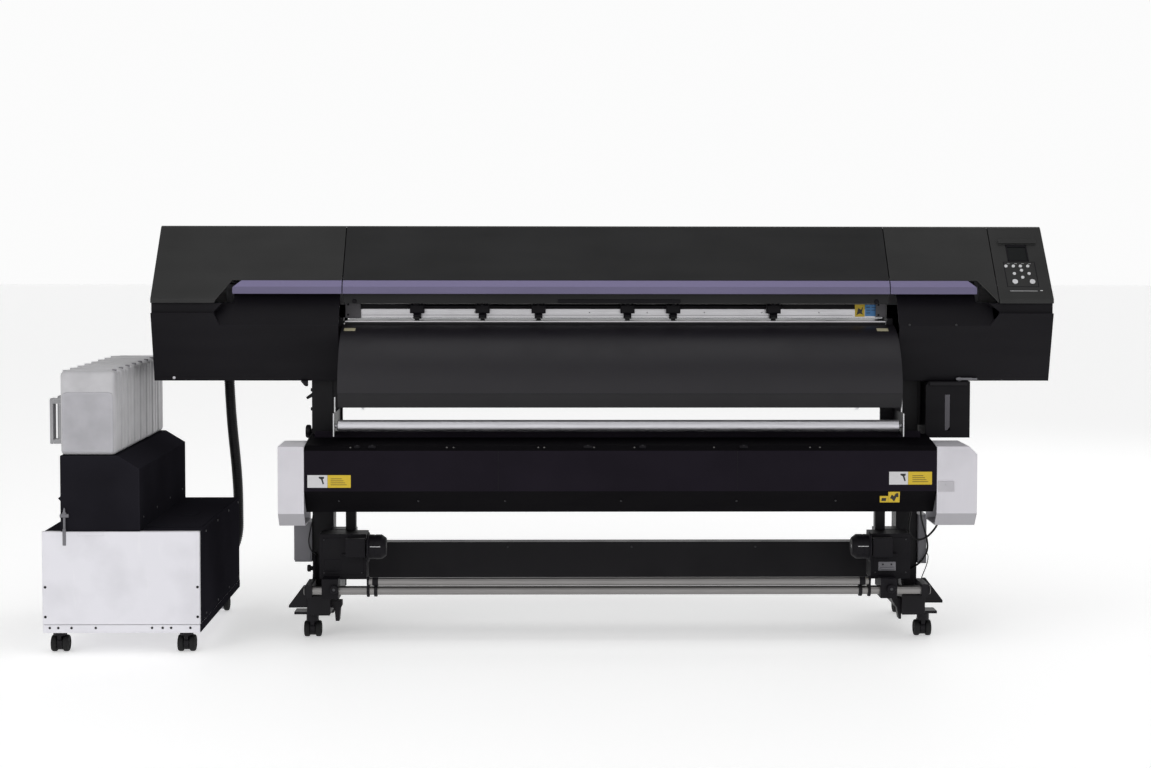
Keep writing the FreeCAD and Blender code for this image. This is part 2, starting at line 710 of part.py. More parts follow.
def end_cover(name, start, length, open_end, chamfer):
    """A white box end on the dryer, open towards the housing."""
    body = prism(name, "x", [
        ("dryer_front - 1", "end_fold"), ("dryer_front - 1", "end_top"), (25, "end_top"),
        (25, "end_low"), (-118, "end_low")], start, length)
    if chamfer:
        base = body.Tip
        names = []
        for number, edge in enumerate(base.Shape.Edges, start=1):
            middle = edge.valueAt((edge.FirstParameter + edge.LastParameter) / 2)
            if abs(middle.x - base.Shape.BoundBox.XMax) < 0.1 and middle.z > SIZES["end_top"] - 1:
                names.append(f"Edge{number}")
        slice_off = body.newObject("PartDesign::Chamfer", name + "_corner")
        slice_off.Base = (base, names)
        slice_off.Size = chamfer
        body.Tip = slice_off
        doc.recompute()
    return hollow(body, [open_end])


def dryer_end_covers():
    left = end_cover("left_end", "end_left", "dryer_left - end_left - 0.5", RIGHT, 0)
    right = end_cover("right_end", "dryer_right + 0.5", "end_right - dryer_right - 0.5", LEFT, 24)
    deliver("dryer_end_covers", fuse("dryer_ends", [left, right]))


# ---------------------------------------------------------------- stand

def caster_fork(name, x, y, top, rear):
    """A twin-wheel caster's middle: hood, post and plate, with a bore for the axle."""
    hood = rod(name + "_hood", 20, (x - 8, y, "wheel_radius"), 16)
    hole = rod(name + "_axle_hole", "wheel_axle + running", (x - 9, y, "wheel_radius"), 18)
    body = cut(name + "_hood_cut", hood, [hole])
    post_y = f"{y} - trail" if not rear else y
    neck = box(name + "_neck", (x - 6, x + 6), (f"{post_y} - 8", f"{post_y} + 8"), (40, 56))
    plate = rod(name + "_plate", 19, (x, post_y, 53), f"{top} - 53", "z")
    return fuse(name + "_fork", [body, neck, plate])


def caster_wheels(name, x, y):
    """Two tyres on one axle."""
    axle = rod(name + "_axle", "wheel_axle", (f"{x} - wheel_gap / 2 - 10", y, "wheel_radius"),
               "wheel_gap + 20")
    tyres = []
    for i, start in enumerate((f"{x} - wheel_gap / 2 - wheel_wide", f"{x} + wheel_gap / 2")):
        tyres.append(rod(f"{name}_tyre_{i}", "wheel_radius", (start, y, "wheel_radius"), "wheel_wide"))
    return fuse(name + "_wheels", [axle] + tyres)


def stand_legs():
    """Each leg is a column on a long foot, with brackets for the pipe, bars and dryer."""
    pieces = []
    for side, x, inner, caster_x in (("left", "leg_left", 1, -899), ("right", "leg_right", -1, 996)):
        far = f"{x} + leg_wide"
        start = SIZES["leg_left"] if side == "left" else SIZES["leg_right"]
        face = start + SIZES["leg_wide"] if inner > 0 else start
        pieces.append(box(side + "_column", (x, far), ("leg_front", "leg_front + leg_deep"),
                          ("foot_top - 1", "body_bottom - 0.5")))
        pieces.append(box(side + "_foot", (x, far), ("foot_front", "foot_back"), ("foot_low", "foot_top")))
        wing = sorted((face - inner * 66 - inner * 45, face - inner * 40))
        pieces.append(box(side + "_caster_plate", wing, (0, 60), ("foot_low", "foot_low + 8")))
        pieces.append(box(side + "_rear_plate", wing, (385, 455), ("foot_low", "foot_low + 8")))
        ring_x = (start, start + 20) if inner > 0 else (start + 46, start + 66)
        ring = box(side + "_ring", ring_x, (-92, "foot_front + 5"), (142, 182))
        ring_hole = rod(side + "_ring_hole", "bar_radius + running",
                        (ring_x[0] - 1, "bar_y", "bar_level"), 22)
        pieces.append(cut(side + "_ring_cut", ring, [ring_hole]))
        pieces.append(box(side + "_ring_foot", ring_x, ("foot_front", 20), (120, 182)))
        pieces.append(box(side + "_feed_arm", sorted((face - inner * 14, face - inner * 2)),
                          ("leg_front + 60", "feed_y - 16"), (690, 750)))
        plate_x = sorted(((SIZES["pipe_left"] if inner > 0 else SIZES["pipe_right"]) - inner * 5,
                          (SIZES["pipe_left"] if inner > 0 else SIZES["pipe_right"]) - inner * 2))
        plate = box(side + "_pipe_plate", plate_x, (-86, "leg_front + 20"), ("dryer_top + 4", 705))
        hole = rod(side + "_pipe_hole", "pipe_journal + running",
                   (plate_x[0] - 1, "pipe_y", "pipe_level"), 5)
        pieces.append(cut(side + "_pipe_plate_cut", plate, [hole]))
        pieces.append(box(side + "_pipe_hook", plate_x, (-50, -38), (700, 752)))
        pieces.append(box(side + "_pipe_arm", sorted((plate_x[0], face)),
                          ("leg_front", "leg_front + 20"), (640, 700)))
        pieces.append(box(side + "_dryer_arm", sorted((face - inner * 20, face + inner * 58)),
                          ("dryer_back + 0.5", "leg_front + 10"), (500, 540)))
        pieces.append(box(side + "_strut", sorted((face + inner * 43, face + inner * 74)), (60, 92),
                          (300, 405)))
        pieces.append(box(side + "_strut_arm", sorted((face, face + inner * 74)), (60, 120), (285, 330)))
        rear = caster_fork(side + "_rear_caster", caster_x, "rear_caster_y", "foot_low + 2", True)
        pieces.append(rear)
    deliver("stand_legs", fuse("stand_legs_whole", pieces))


def stand_beam():
    inner_left, inner_right = "leg_left + leg_wide", "leg_right"
    tube = box("cross_beam", (inner_left + " + 0.5", inner_right + " - 0.5"),
               ("beam_y", "beam_y + beam_deep"), ("stand_beam_low", "stand_beam_top"))
    core = box("cross_core", (inner_left + " + 7", inner_right + " - 7"),
               ("beam_y + 4", "beam_y + beam_deep - 4"), ("stand_beam_low + 4", "stand_beam_top - 4"))
    plates = []
    for name, x in (("left", inner_left + " + 0.5"), ("right", inner_right + " - 6.5")):
        plates.append(box(name + "_plate", (x, x + " + 6"), (200, 400), (85, "stand_beam_top")))
    deliver("stand_beam", fuse("stand_beam_whole", [cut("cross_cut", tube, [core])] + plates))


def power_boxes():
    left = box("left_power", ("leg_left - 54", "leg_left - 0.5"), (95, 175), (223, 348))
    right = box("right_power", ("leg_right + leg_wide + 0.5", "leg_right + leg_wide + 28"),
                (95, 175), (216, 370))
    deliver("power_boxes", fuse("power_boxes_whole", [left, right]))


def waste_ink_tank():
    tank = prism("waste", "y", [(1002, 618), (1002, 780), (1012, 793), (1140, 793), (1140, 618)], 40, 150)
    slot = box("level_slot", (1062, 1078), (30, 46), (640, 752))
    deliver("waste_ink_tank", cut("waste_cut", tank, [slot]))


def rear_feed_bar():
    bar = rod("feed_bar", "feed_radius", (-878, "feed_y", "feed_level"), 1832)
    stops = []
    for name, x in (("left", -790), ("right", 860)):
        stops.append(rod(name + "_stop", 60, (x, "feed_y", "feed_level"), 8))
        stops.append(rod(name + "_seat", 38, (x - 30 if x > 0 else x + 7, "feed_y", "feed_level"), 31))
    for name, x in (("left", -878), ("right", 942)):
        stops.append(box(name + "_saddle", (x, x + 12), ("feed_y - 15.5", "feed_y + 20"), (690, 750)))
    deliver("rear_feed_bar", fuse("feed_whole", [bar] + stops))


# ---------------------------------------------------------------- take-up

def takeup_unit(side, low, high, inner):
    """A block that clamps on the guide bar and holds one spindle."""
    block = box(side + "_block", (low, high), (-35, 55), (190, 329))
    clamp_x = (f"{low} + 13", f"{low} + 63") if inner > 0 else (f"{high} - 100", f"{high} - 50")
    neck = box(side + "_clamp", clamp_x, (-95, -25), (140, 200))
    nose = box(side + "_nose", sorted((rough(high) - 60, rough(high))) if inner > 0
               else sorted((rough(low), rough(low) + 60)), (-78, -30), (265, 321))
    holes = [
        rod(side + "_bar_bore", "bar_radius + running", (f"{low} - 60", "bar_y", "bar_level"), 260),
        rod(side + "_spindle_bore", "spindle + running", (f"{low} - 5", "roll_y", "roll_level"), 160)]
    return cut(side + "_unit_cut", fuse(side + "_unit_whole", [block, neck, nose]), holes)


def flange(side, face, inner):
    """A core flange: spindle, disc, core seat and a lead-in cone, facing inwards."""
    centre = ("roll_y", "roll_level")
    if inner > 0:
        spans = ((f"{face} - 60", 66), (f"{face} + 5", 6), (f"{face} + 11", "core_seat"))
    else:
        spans = ((f"{face} - 6", 66), (f"{face} - 11", 6), (f"{face} - 11 - core_seat", "core_seat"))
    spindle = rod(side + "_spindle", "spindle", (spans[0][0], *centre), spans[0][1])
    disc = rod(side + "_disc", "flange_radius", (spans[1][0], *centre), spans[1][1])
    seat = rod(side + "_seat", "core_radius", (spans[2][0], *centre), spans[2][1])
    cone = doc.addObject("Part::Cone", side + "_cone")
    cone.setExpression("Radius1", bind("core_radius"))
    cone.setExpression("Radius2", bind("core_radius - 10"))
    cone.Height = 12
    if inner > 0:
        put(cone, (f"{face} + 11 + core_seat", *centre), Rotation(Vector(0, 1, 0), 90))
    else:
        put(cone, (f"{face} - 11 - core_seat", *centre), Rotation(Vector(0, 1, 0), -90))
    return fuse(side + "_flange", [spindle, disc, seat, cone])


def take_up():
    deliver("takeup_drive_unit", takeup_unit("drive", "drive_left", "drive_right", 1))
    deliver("takeup_idle_unit", takeup_unit("idle", "idle_left", "idle_right", -1))
    deliver("takeup_left_flange", flange("left", "drive_right", 1))
    deliver("takeup_right_flange", flange("right", "idle_left", -1))
    deliver("takeup_guide_bar", rod("guide_bar", "bar_radius", ("bar_start", "bar_y", "bar_level"),
                                    "bar_end - bar_start"))
    pieces = [rod("swing_bar", "swing_radius", (-716, "swing_y", "swing_level"), 1526)]
    holes = []
    for name, x in (("left", -722), ("right", 808)):
        pieces.append(rod(name + "_arm_ring", 20, (x, "bar_y", "bar_level"), 8))
        pieces.append(box(name + "_arm_link", (x, x + 8), (-92, -62), (165, 200)))
        holes.append(rod(name + "_arm_hole", "bar_radius + running", (x - 1, "bar_y", "bar_level"), 10))
    deliver("tension_bar", cut("tension_cut", fuse("tension_whole", pieces), holes))


# ---------------------------------------------------------------- casters

def casters():
    for side, x in (("left", -899), ("right", 996)):
        deliver(f"stand_{side}_caster",
                caster_fork(f"stand_{side}", x, "front_caster_y", "foot_low - 0.4", False))
        deliver(f"stand_{side}_wheels", caster_wheels(f"stand_{side}", x, "front_caster_y"))
    for side, x in (("left", -1628), ("right", -1251)):
        deliver(f"trolley_{side}_caster",
                caster_fork(f"trolley_{side}", x, "cart_front_caster", "cart_low - 0.4", False))
        deliver(f"trolley_{side}_wheels", caster_wheels(f"trolley_{side}", x, "cart_front_caster"))
    deliver("stand_rear_wheels", fuse("stand_rear", [
        caster_wheels("stand_rear_left", -899, "rear_caster_y"),
        caster_wheels("stand_rear_right", 996, "rear_caster_y")]))
    deliver("trolley_rear_wheels", fuse("trolley_rear", [
        caster_wheels("trolley_rear_left", -1628, "cart_rear_caster"),
        caster_wheels("trolley_rear_right", -1251, "cart_rear_caster")]))


# ---------------------------------------------------------------- ink trolley

def is_tank_corner(middle, edge):
    return (middle.z > SIZES["pedestal_top"] + SIZES["tank_high"] - 1
            and abs(middle.x - SIZES["pedestal_left"]) < 1)


def trolley():
    tray = box("tray", ("cart_left + 1", "cart_right"), ("cart_front + 2", "cart_back"),
               ("cart_low", "cart_rail"))
    well = box("tray_well", ("cart_left + 4", "cart_right - 3"), ("cart_front + 5", "cart_back - 3"),
               ("cart_low + 3", "cart_rail + 1"))
    inlet_foot = box("inlet_foot", (-1535, -1455), ("cart_back - 2", "inlet_back"),
                     ("cart_low", "cart_rail - 1"))
    inlet = box("hose_inlet", (-1535, -1455), ("cart_back + 0.5", "inlet_back"), ("cart_rail - 2", 115))
    rear = [caster_fork("trolley_rear_l", -1628, "cart_rear_caster", "cart_low + 1", True),
            caster_fork("trolley_rear_r", -1251, "cart_rear_caster", "cart_low + 1", True)]
    deliver("trolley_base",
            fuse("trolley_base_whole", [cut("tray_cut", tray, [well]), inlet_foot, inlet] + rear))
    face = box("panel_face", ("cart_left", "cart_right"), ("cart_front", "cart_front + 3"),
               ("cart_rail + 0.5", "cart_top"))
    lips = [box("panel_left_lip", ("cart_left", "cart_left + 3"), ("cart_front", "cart_front + 20"),
                ("cart_rail + 0.5", "cart_top")),
            box("panel_top_lip", ("cart_left", "cart_right"), ("cart_front", "cart_front + 20"),
                ("cart_top - 3", "cart_top"))]
    deliver("trolley_front_panel", fuse("panel_front", [face] + lips))
    shell = prism("cart_shell", "z", [
        ("cart_left + 3.5", "cart_front + 21"), ("cart_right", "cart_front + 21"),
        ("cart_right", "cart_back"), ("cart_left + 3.5", "cart_back")], "cart_rail + 0.5", 278)
    deliver("trolley_body_cover", hollow(shell, [DOWN, FRONT]))
    pedestal = prism("pedestal", "y", [
        ("pedestal_left", 364), ("pedestal_left", "pedestal_top"), (-1449, "pedestal_top"),
        ("pedestal_right", 551), ("pedestal_right", 364)], -207, 772)
    deliver("tank_pedestal", hollow(pedestal, [DOWN]))
    tanks = []
    for i in range(TANK_COUNT):
        low = f"tank_first + tank_pitch * {i}"
        tank = prism(f"tank_{i}", "y", [
            ("pedestal_left", "pedestal_top + 0.5"), ("pedestal_left", "pedestal_top + tank_high"),
            ("pedestal_left + tank_wide", "pedestal_top + tank_high"),
            ("pedestal_left + tank_wide", "pedestal_top + 0.5")], low, "tank_deep")
        round_edges(tank, 16, is_tank_corner)
        grip = box(f"grip_{i}", ("pedestal_left - 36", "pedestal_left + 2"), (low + " + 25", low + " + 65"),
                   (619, 759))
        finger = box(f"finger_{i}", ("pedestal_left - 24", "pedestal_left - 6"),
                     (low + " + 20", low + " + 70"),
                     (630, 748))
        tanks.append(fuse(f"tank_whole_{i}", [tank, cut(f"grip_cut_{i}", grip, [finger])]))
    deliver("ink_tanks", fuse("tanks", tanks))


# ---------------------------------------------------------------- cords

def bend_radius(before, corner, after):
    """The arc at a corner: as large as its two runs allow."""
    first, second = corner - before, after - corner
    turn = first.getAngle(second)
    return 0.45 * min(first.Length, second.Length) / math.tan(turn / 2), turn


def cord(name, radius_name, route):
    """A round tube along straight runs joined by tangent arcs."""
    points = [Vector(*point) for point in route]
    radius = SIZES[radius_name]
    edges, start, radii = [], points[0], []
    for before, corner, after in zip(points, points[1:], points[2:]):
        bend, turn = bend_radius(before, corner, after)
        reach = bend * math.tan(turn / 2)
        into = corner + (before - corner).normalize() * reach
        out = corner + (after - corner).normalize() * reach
        halfway = ((before - corner).normalize() + (after - corner).normalize()).normalize()
        middle = corner + halfway * (bend / math.cos(turn / 2) - bend)
        edges.append(Part.LineSegment(start, into).toShape())
        edges.append(Part.Arc(into, middle, out).toShape())
        start = out
        radii.append(round(bend / radius / 2, 1))
    edges.append(Part.LineSegment(start, points[-1]).toShape())
    path = Part.Wire(edges)
    ring = Part.Wire(Part.makeCircle(radius, points[0], points[1] - points[0]))
    tube = path.makePipeShell([ring], True, False)
    expected = math.pi * radius ** 2 * path.Length
    print(f"{name}: length {path.Length:.0f}, bends in diameters {radii}, "
          f"volume {tube.Volume / expected:.4f} of section times length")
    feature = doc.addObject("Part::Feature", name + "_tube")
    feature.Shape = tube
    feature.Placement = Placement(Vector(0, 0, 0), Rotation())
    deliver(name, feature)


left_upper_cover()
right_upper_cover()
left_lower_cover()
right_lower_cover()
accent_trims()
front_cover()
rear_cover()
head_frame()
platen()
y_rail()
carriage("print_carriage", "print_home", "print_wide", 988, 1120)
carriage("cutter_carriage", "cutter_home", "cutter_wide", 990, 1090)
pinch_parts()
grit_shaft()
apron_heater()
control_panel()
guide_pipe()
dryer_housing()
dryer_end_covers()
stand_legs()
stand_beam()
power_boxes()
waste_ink_tank()
rear_feed_bar()
take_up()
casters()
trolley()
for cord_name, (cord_radius, cord_route) in CORDS.items():
    cord(cord_name, cord_radius, cord_route)

doc.recompute()
broken = [thing.Name for thing in doc.Objects if "Invalid" in thing.State or "Error" in thing.State]
for node in nodes:
    if node.Shape.isNull() or not node.Shape.isValid():
        broken.append(node.Label)
if broken:
    raise SystemExit("failed: " + ", ".join(broken))
os.makedirs("parts", exist_ok=True)
for node in nodes:
    node.Shape.exportStep(f"parts/{node.Label}.step")
print(len(nodes), "sub-parts written")
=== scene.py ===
"""Wide-format roll printer-cutter: finishes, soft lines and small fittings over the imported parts."""

import math

import bmesh
import bpy
from mathutils import Matrix, Vector


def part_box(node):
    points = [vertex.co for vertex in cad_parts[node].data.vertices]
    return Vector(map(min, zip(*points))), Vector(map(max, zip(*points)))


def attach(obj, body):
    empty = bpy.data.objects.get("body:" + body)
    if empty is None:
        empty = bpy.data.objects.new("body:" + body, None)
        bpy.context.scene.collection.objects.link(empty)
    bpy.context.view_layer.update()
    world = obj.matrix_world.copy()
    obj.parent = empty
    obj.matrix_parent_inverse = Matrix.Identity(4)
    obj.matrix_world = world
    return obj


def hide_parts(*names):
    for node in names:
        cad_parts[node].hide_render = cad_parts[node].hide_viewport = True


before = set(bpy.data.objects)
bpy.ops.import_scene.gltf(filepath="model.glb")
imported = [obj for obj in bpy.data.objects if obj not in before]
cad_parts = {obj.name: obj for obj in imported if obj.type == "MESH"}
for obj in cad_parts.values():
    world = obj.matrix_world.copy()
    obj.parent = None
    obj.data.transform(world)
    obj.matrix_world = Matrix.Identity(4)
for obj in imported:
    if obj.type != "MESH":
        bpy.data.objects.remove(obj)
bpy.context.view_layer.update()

MM = 0.001
DRAWING_TO_FRAME = Vector((143.0, -214.5, 0.0))
SMOOTH_ANGLE = math.radians(38)


def at(x, y, z):
    """A point of the machine's drawing, in millimetres, as a place in the frame, in metres."""
    return (Vector((x, y, z)) + DRAWING_TO_FRAME) * MM


# ---- finishes


def paint(red, green, blue):
    """A colour given in everyday 0 to 255 steps, as the linear values that shaders use."""
    steps = [c / 255 for c in (red, green, blue)]
    return tuple(((c + 0.055) / 1.055) ** 2.4 if c > 0.04 else c / 12.92 for c in steps) + (1.0,)


def shade(colour, amount):
    """The same colour, lighter above 1 and darker below it."""
    return tuple(min(1.0, c * amount) for c in colour[:3]) + (1.0,)


class Wire:
    """One output in a finish's tree; sums on it add Math nodes."""

    def __init__(self, finish, socket):
        self.finish = finish
        self.socket = socket

    def maths(self, operation, *values):
        return self.finish.node("Math", {"operation": operation}, dict(enumerate(values)))

    def __add__(self, other):
        return self.maths("ADD", self, other)

    def __sub__(self, other):
        return self.maths("SUBTRACT", self, other)

    def __rsub__(self, other):
        return self.maths("SUBTRACT", other, self)

    def __mul__(self, other):
        return self.maths("MULTIPLY", self, other)

    __radd__ = __add__
    __rmul__ = __mul__

    def between(self, low, high):
        """0 at or under low, 1 at or over high."""
        return self.finish.node("MapRange", {}, {0: self, 1: low, 2: high})


class Finish:
    """One material, and the calls that wire its nodes."""

    def __init__(self, name):
        self.material = bpy.data.materials.new(name)
        self.material.use_nodes = True
        self.tree = self.material.node_tree
        self.tree.nodes.clear()
        self.where = self.node("TexCoord", output="Object")

    def node(self, kind, settings=None, sockets=None, output=0):
        """Adds a node: its settings first, then the values or wires of its sockets."""
        made = self.tree.nodes.new("ShaderNode" + kind)
        for name, value in (settings or {}).items():
            setattr(made, name, value)
        for name, value in (sockets or {}).items():
            if isinstance(value, Wire):
                self.tree.links.new(value.socket, made.inputs[name])
            else:
                made.inputs[name].default_value = value
        return Wire(self, made.outputs[output]) if made.outputs else None

    def noise(self, scale, detail=3.0, stretch=(1.0, 1.0, 1.0)):
        """Grain about 1/scale metres across, finer or coarser along each axis."""
        spread = self.node("VectorMath", {"operation": "MULTIPLY"}, {0: self.where, 1: stretch})
        return self.node("TexNoise", {}, {"Vector": spread, "Scale": scale, "Detail": detail})

    def cells(self, scale):
        """Small round-edged cells, about 1/scale metres across."""
        return self.node("TexVoronoi", {}, {"Vector": self.where, "Scale": scale})

    def mix(self, amount, first, second):
        """A colour that goes from first to second with amount."""
        return self.node("Mix", {"data_type": "RGBA"}, {0: amount, 6: first, 7: second}, output=2)

    def eased(self, radius):
        """The surface direction with its corners rounded off."""
        return self.node("Bevel", {"samples": 4}, {"Radius": radius})

    def worn_highlit_edges(self, radius):
        """About 1 along corners, where the finishes paint both rubbing wear and an edge highlight, and
        0 on open faces.
        """
        facing = self.node("NewGeometry", output="Normal")
        turned = self.node(
            "VectorMath",
            {"operation": "DOT_PRODUCT"},
            {0: self.eased(radius), 1: facing},
            output="Value",
        )
        return (1.0 - turned).between(0.01, 0.25)

    def leaning(self, low, high):
        """From 0 to 1 as the surface turns from one upward lean to another; walls are at 0."""
        facing = self.node("NewGeometry", output="Normal")
        return self.node("SeparateXYZ", {}, {0: facing}, output="Z").between(low, high)

    def bump(self, height, depth, radius):
        """Fine relief of this depth in metres, over corners rounded by radius."""
        sockets = {"Strength": 1.0, "Distance": depth, "Height": height, "Normal": self.eased(radius)}
        return self.node("Bump", {}, sockets)

    def surface(self, **sockets):
        """The shader: wires for what varies and plain numbers for what doesn't."""
        named = {name.replace("_", " ").title(): value for name, value in sockets.items()}
        named = {name.replace("Ior", "IOR"): value for name, value in named.items()}
        shader = self.node("BsdfPrincipled", {}, named)
        self.node("OutputMaterial", {}, {"Surface": shader})
        return self.material


def moulded(name, colour, roughness, gloss=0.3, level_face_painted_light=1.0):
    """Spark-grained moulding: clouded colour, faint wiping marks, corners painted paler as wear and as
    an edge highlight, and a painted tone on faces that lean up or down, the colour times the last
    argument: painted light where it is over 1, painted shade where it is under 1."""
    finish = Finish(name)
    grain = finish.noise(2400, detail=2)
    cloud = finish.noise(4, detail=5).between(0.35, 0.68)
    wiped = finish.noise(9, detail=4, stretch=(0.4, 1.0, 2.4)).between(0.3, 0.75)
    corner = finish.worn_highlit_edges(0.004)
    base = finish.mix(cloud, shade(colour, 0.84), shade(colour, 1.16))
    # corners painted paler: rubbing wear together with a painted edge highlight
    base = finish.mix(corner * 0.6, base, shade(colour, 3.0))
    # faces that lean up or down get painted light when the factor is over 1 and painted shade when it
    # is under 1
    if level_face_painted_light != 1:
        base = finish.mix(finish.leaning(0.12, 0.5), base, shade(colour, level_face_painted_light))
        base = finish.mix(finish.leaning(-0.12, -0.5), base, shade(colour, level_face_painted_light))
    return finish.surface(
        base_color=base,
        roughness=wiped * 0.14 + grain * 0.08 + (roughness - 0.11),
        specular_ior_level=gloss,
        normal=finish.bump(grain, 0.00018, 0.003),
    )


def coated_steel(name, colour, roughness, gloss=0.35):
    """Powder coat on sheet steel: orange peel, soft dirt, edges painted paler as wear and as a
    highlight, and painted shade on faces that lean down.
    """
    finish = Finish(name)
    peel = finish.noise(650, detail=1)
    dirt = finish.noise(7, detail=6).between(0.45, 0.75)
    scuffs = finish.noise(60, detail=4, stretch=(1.0, 1.0, 0.15)).between(0.62, 0.72)
    corner = finish.worn_highlit_edges(0.003)
    base = finish.mix(dirt * 0.6, colour, shade(colour, 0.8))
    # scuffs are wear; the edges painted paler are wear together with a painted edge highlight
    base = finish.mix(scuffs * 0.07 + corner * 0.25, base, shade(colour, 1.5))
    # painted shade: faces that lean down are darkened to 0.6 of the colour
    base = finish.mix(finish.leaning(-0.06, -0.4), base, shade(colour, 0.6))
    return finish.surface(
        base_color=base,
        roughness=dirt * 0.15 + peel * 0.1 + (roughness - 0.12),
        specular_ior_level=gloss,
        normal=finish.bump(peel, 0.0003, 0.003),
    )


def trim_paint(name, colour):
    """Satin metallic paint: fine flake, a soft lengthwise painted sheen, painted light on the upper
    face, and edges painted paler as wear and highlight.
    """
    finish = Finish(name)
    flake = finish.cells(1800).between(0.1, 0.6)
    # painted sheen: soft lengthwise streaks of lighter and darker colour
    sweep = finish.noise(2.2, detail=2, stretch=(1.0, 3.0, 3.0)).between(0.3, 0.7)
    corner = finish.worn_highlit_edges(0.003)
    base = finish.mix(sweep, shade(colour, 0.88), shade(colour, 1.12))
    # painted light: upward-leaning faces 1.5 times lighter
    base = finish.mix(finish.leaning(0.12, 0.5), base, shade(colour, 1.5))
    # fine flake, and edges painted paler as wear together with a painted edge highlight
    base = finish.mix(flake * 0.15 + corner * 0.4, base, shade(colour, 1.9))
    return finish.surface(
        base_color=base,
        roughness=flake * 0.1 + 0.32,
        metallic=0.25,
        coat_weight=0.3,
        coat_roughness=0.2,
        normal=finish.bump(flake, 0.00005, 0.003),
    )


def brushed(name, colour, roughness, lines=320, stretch=(0.02, 1.0, 1.0)):
    """Bare metal with fine drawing lines, fingerprints, and edges painted brighter as wear and
    highlight.
    """
    finish = Finish(name)
    line = finish.noise(lines, detail=4, stretch=stretch)
    print_marks = finish.noise(11, detail=5).between(0.5, 0.8)
    corner = finish.worn_highlit_edges(0.002)
    base = finish.mix(line.between(0.3, 0.7), shade(colour, 0.88), shade(colour, 1.08))
    # edges painted brighter: polished wear together with a painted edge highlight
    base = finish.mix(corner * 0.5, base, shade(colour, 1.25))
    return finish.surface(
        base_color=base,
        metallic=1.0,
        roughness=line * 0.12 + print_marks * 0.12 + (roughness - 0.08),
        normal=finish.bump(line, 0.00006, 0.002),
    )


def rubber(name, colour, roughness=0.75):
    """Matt rubber with dust in its grain."""
    finish = Finish(name)
    grain = finish.noise(900, detail=3)
    dust = finish.noise(28, detail=5).between(0.45, 0.75)
    base = finish.mix(dust * 0.5, colour, shade(colour, 2.4))
    return finish.surface(
        base_color=base,
        roughness=grain * 0.1 + dust * 0.1 + (roughness - 0.1),
        specular_ior_level=0.3,
        normal=finish.bump(grain, 0.0003, 0.002),
    )


def translucent_tank(name, colour):
    """Milky blow-moulded plastic: uneven wall and soft corners painted bright as a highlight."""
    finish = Finish(name)
    wall = finish.noise(16, detail=3).between(0.3, 0.7)
    orange = finish.noise(240, detail=2)
    corner = finish.worn_highlit_edges(0.012)
    base = finish.mix(wall, shade(colour, 0.9), shade(colour, 1.08))
    # painted highlight: the rounded corners mixed towards a lighter tone
    base = finish.mix(corner * 0.7, base, shade(colour, 1.45))
    return finish.surface(
        base_color=base,
        roughness=orange * 0.1 + 0.36,
        specular_ior_level=0.45,
        normal=finish.bump(orange, 0.0005, 0.008),
    )


def dark_glass(name):
    """The display: a smoked window with a faint dot grid under it."""
    finish = Finish(name)
    grid = finish.cells(900).between(0.2, 0.5)
    smear = finish.noise(30, detail=4).between(0.4, 0.8)
    base = finish.mix(grid, paint(12, 13, 14), paint(20, 22, 23))
    return finish.surface(base_color=base, roughness=smear * 0.12 + 0.3, specular_ior_level=0.12)


def sheet_label(name, colour):
    """Printed film stuck on a cover: flat colour with a fine print screen and a worn rim."""
    finish = Finish(name)
    screen = finish.cells(1500).between(0.1, 0.6)
    worn = finish.noise(60, detail=5).between(0.55, 0.8)
    base = finish.mix(screen * 0.25 + worn * 0.3, colour, shade(colour, 0.82))
    return finish.surface(base_color=base, roughness=worn * 0.15 + 0.42, specular_ior_level=0.4)


CHARCOAL = moulded("charcoal moulding", paint(26, 26, 27), 0.5, gloss=0.25)
CHARCOAL_ENDS = moulded("charcoal end moulding", paint(36, 36, 36), 0.48, gloss=0.3)
# dryer paint: painted shade, its up- and down-facing faces at a fifth of its colour
DRYER_BLACK = moulded("dryer paint", paint(24, 20, 28), 0.6, gloss=0.06, level_face_painted_light=0.2)
# trolley sheet: painted light, its up- and down-facing faces 1.3 times lighter
SHEET_BLACK = moulded("black trolley sheet", paint(32, 31, 36), 0.8, gloss=0.0, level_face_painted_light=1.3)
APRON_BLACK = coated_steel("apron paint", paint(27, 25, 30), 0.42, gloss=0.35)
DARK_SCREW = brushed("blackened screws", paint(74, 74, 76), 0.4)
BLACK = moulded("black moulding", paint(14, 12, 17), 0.55, gloss=0.16)
TRIM = trim_paint("lavender trim paint", paint(92, 86, 116))
BLACK_STEEL = coated_steel("black powder coat", paint(15, 13, 18), 0.48, gloss=0.2)
WHITE_STEEL = coated_steel("white powder coat", paint(210, 208, 214), 0.45)
GREY_STEEL = coated_steel("grey powder coat", paint(116, 115, 120), 0.5)
ALUMINIUM = brushed("satin aluminium", paint(196, 195, 198), 0.34)
STEEL = brushed("ground steel bar", paint(206, 206, 208), 0.18, lines=500)
DULL_STEEL = brushed("dull steel bar", paint(142, 140, 139), 0.34, lines=500)
PIPE = brushed("anodised pipe", paint(214, 213, 218), 0.44, lines=420)
BRACKET_GREY = coated_steel("bracket paint", paint(82, 80, 84), 0.45)
WHITE_PANEL = coated_steel("white panel coat", paint(228, 227, 233), 0.42)
RUBBER = rubber("tyre rubber", paint(18, 18, 19))
ROLLER = rubber("roller rubber", paint(30, 30, 31), 0.6)
CABLE = rubber("cable sheath", paint(14, 14, 15), 0.5)
HOSE = moulded("hose plastic", paint(20, 20, 23), 0.45)
TANK = translucent_tank("milky tank plastic", paint(186, 185, 188))
TANK_FACE = translucent_tank("tank face plastic", paint(170, 169, 174))
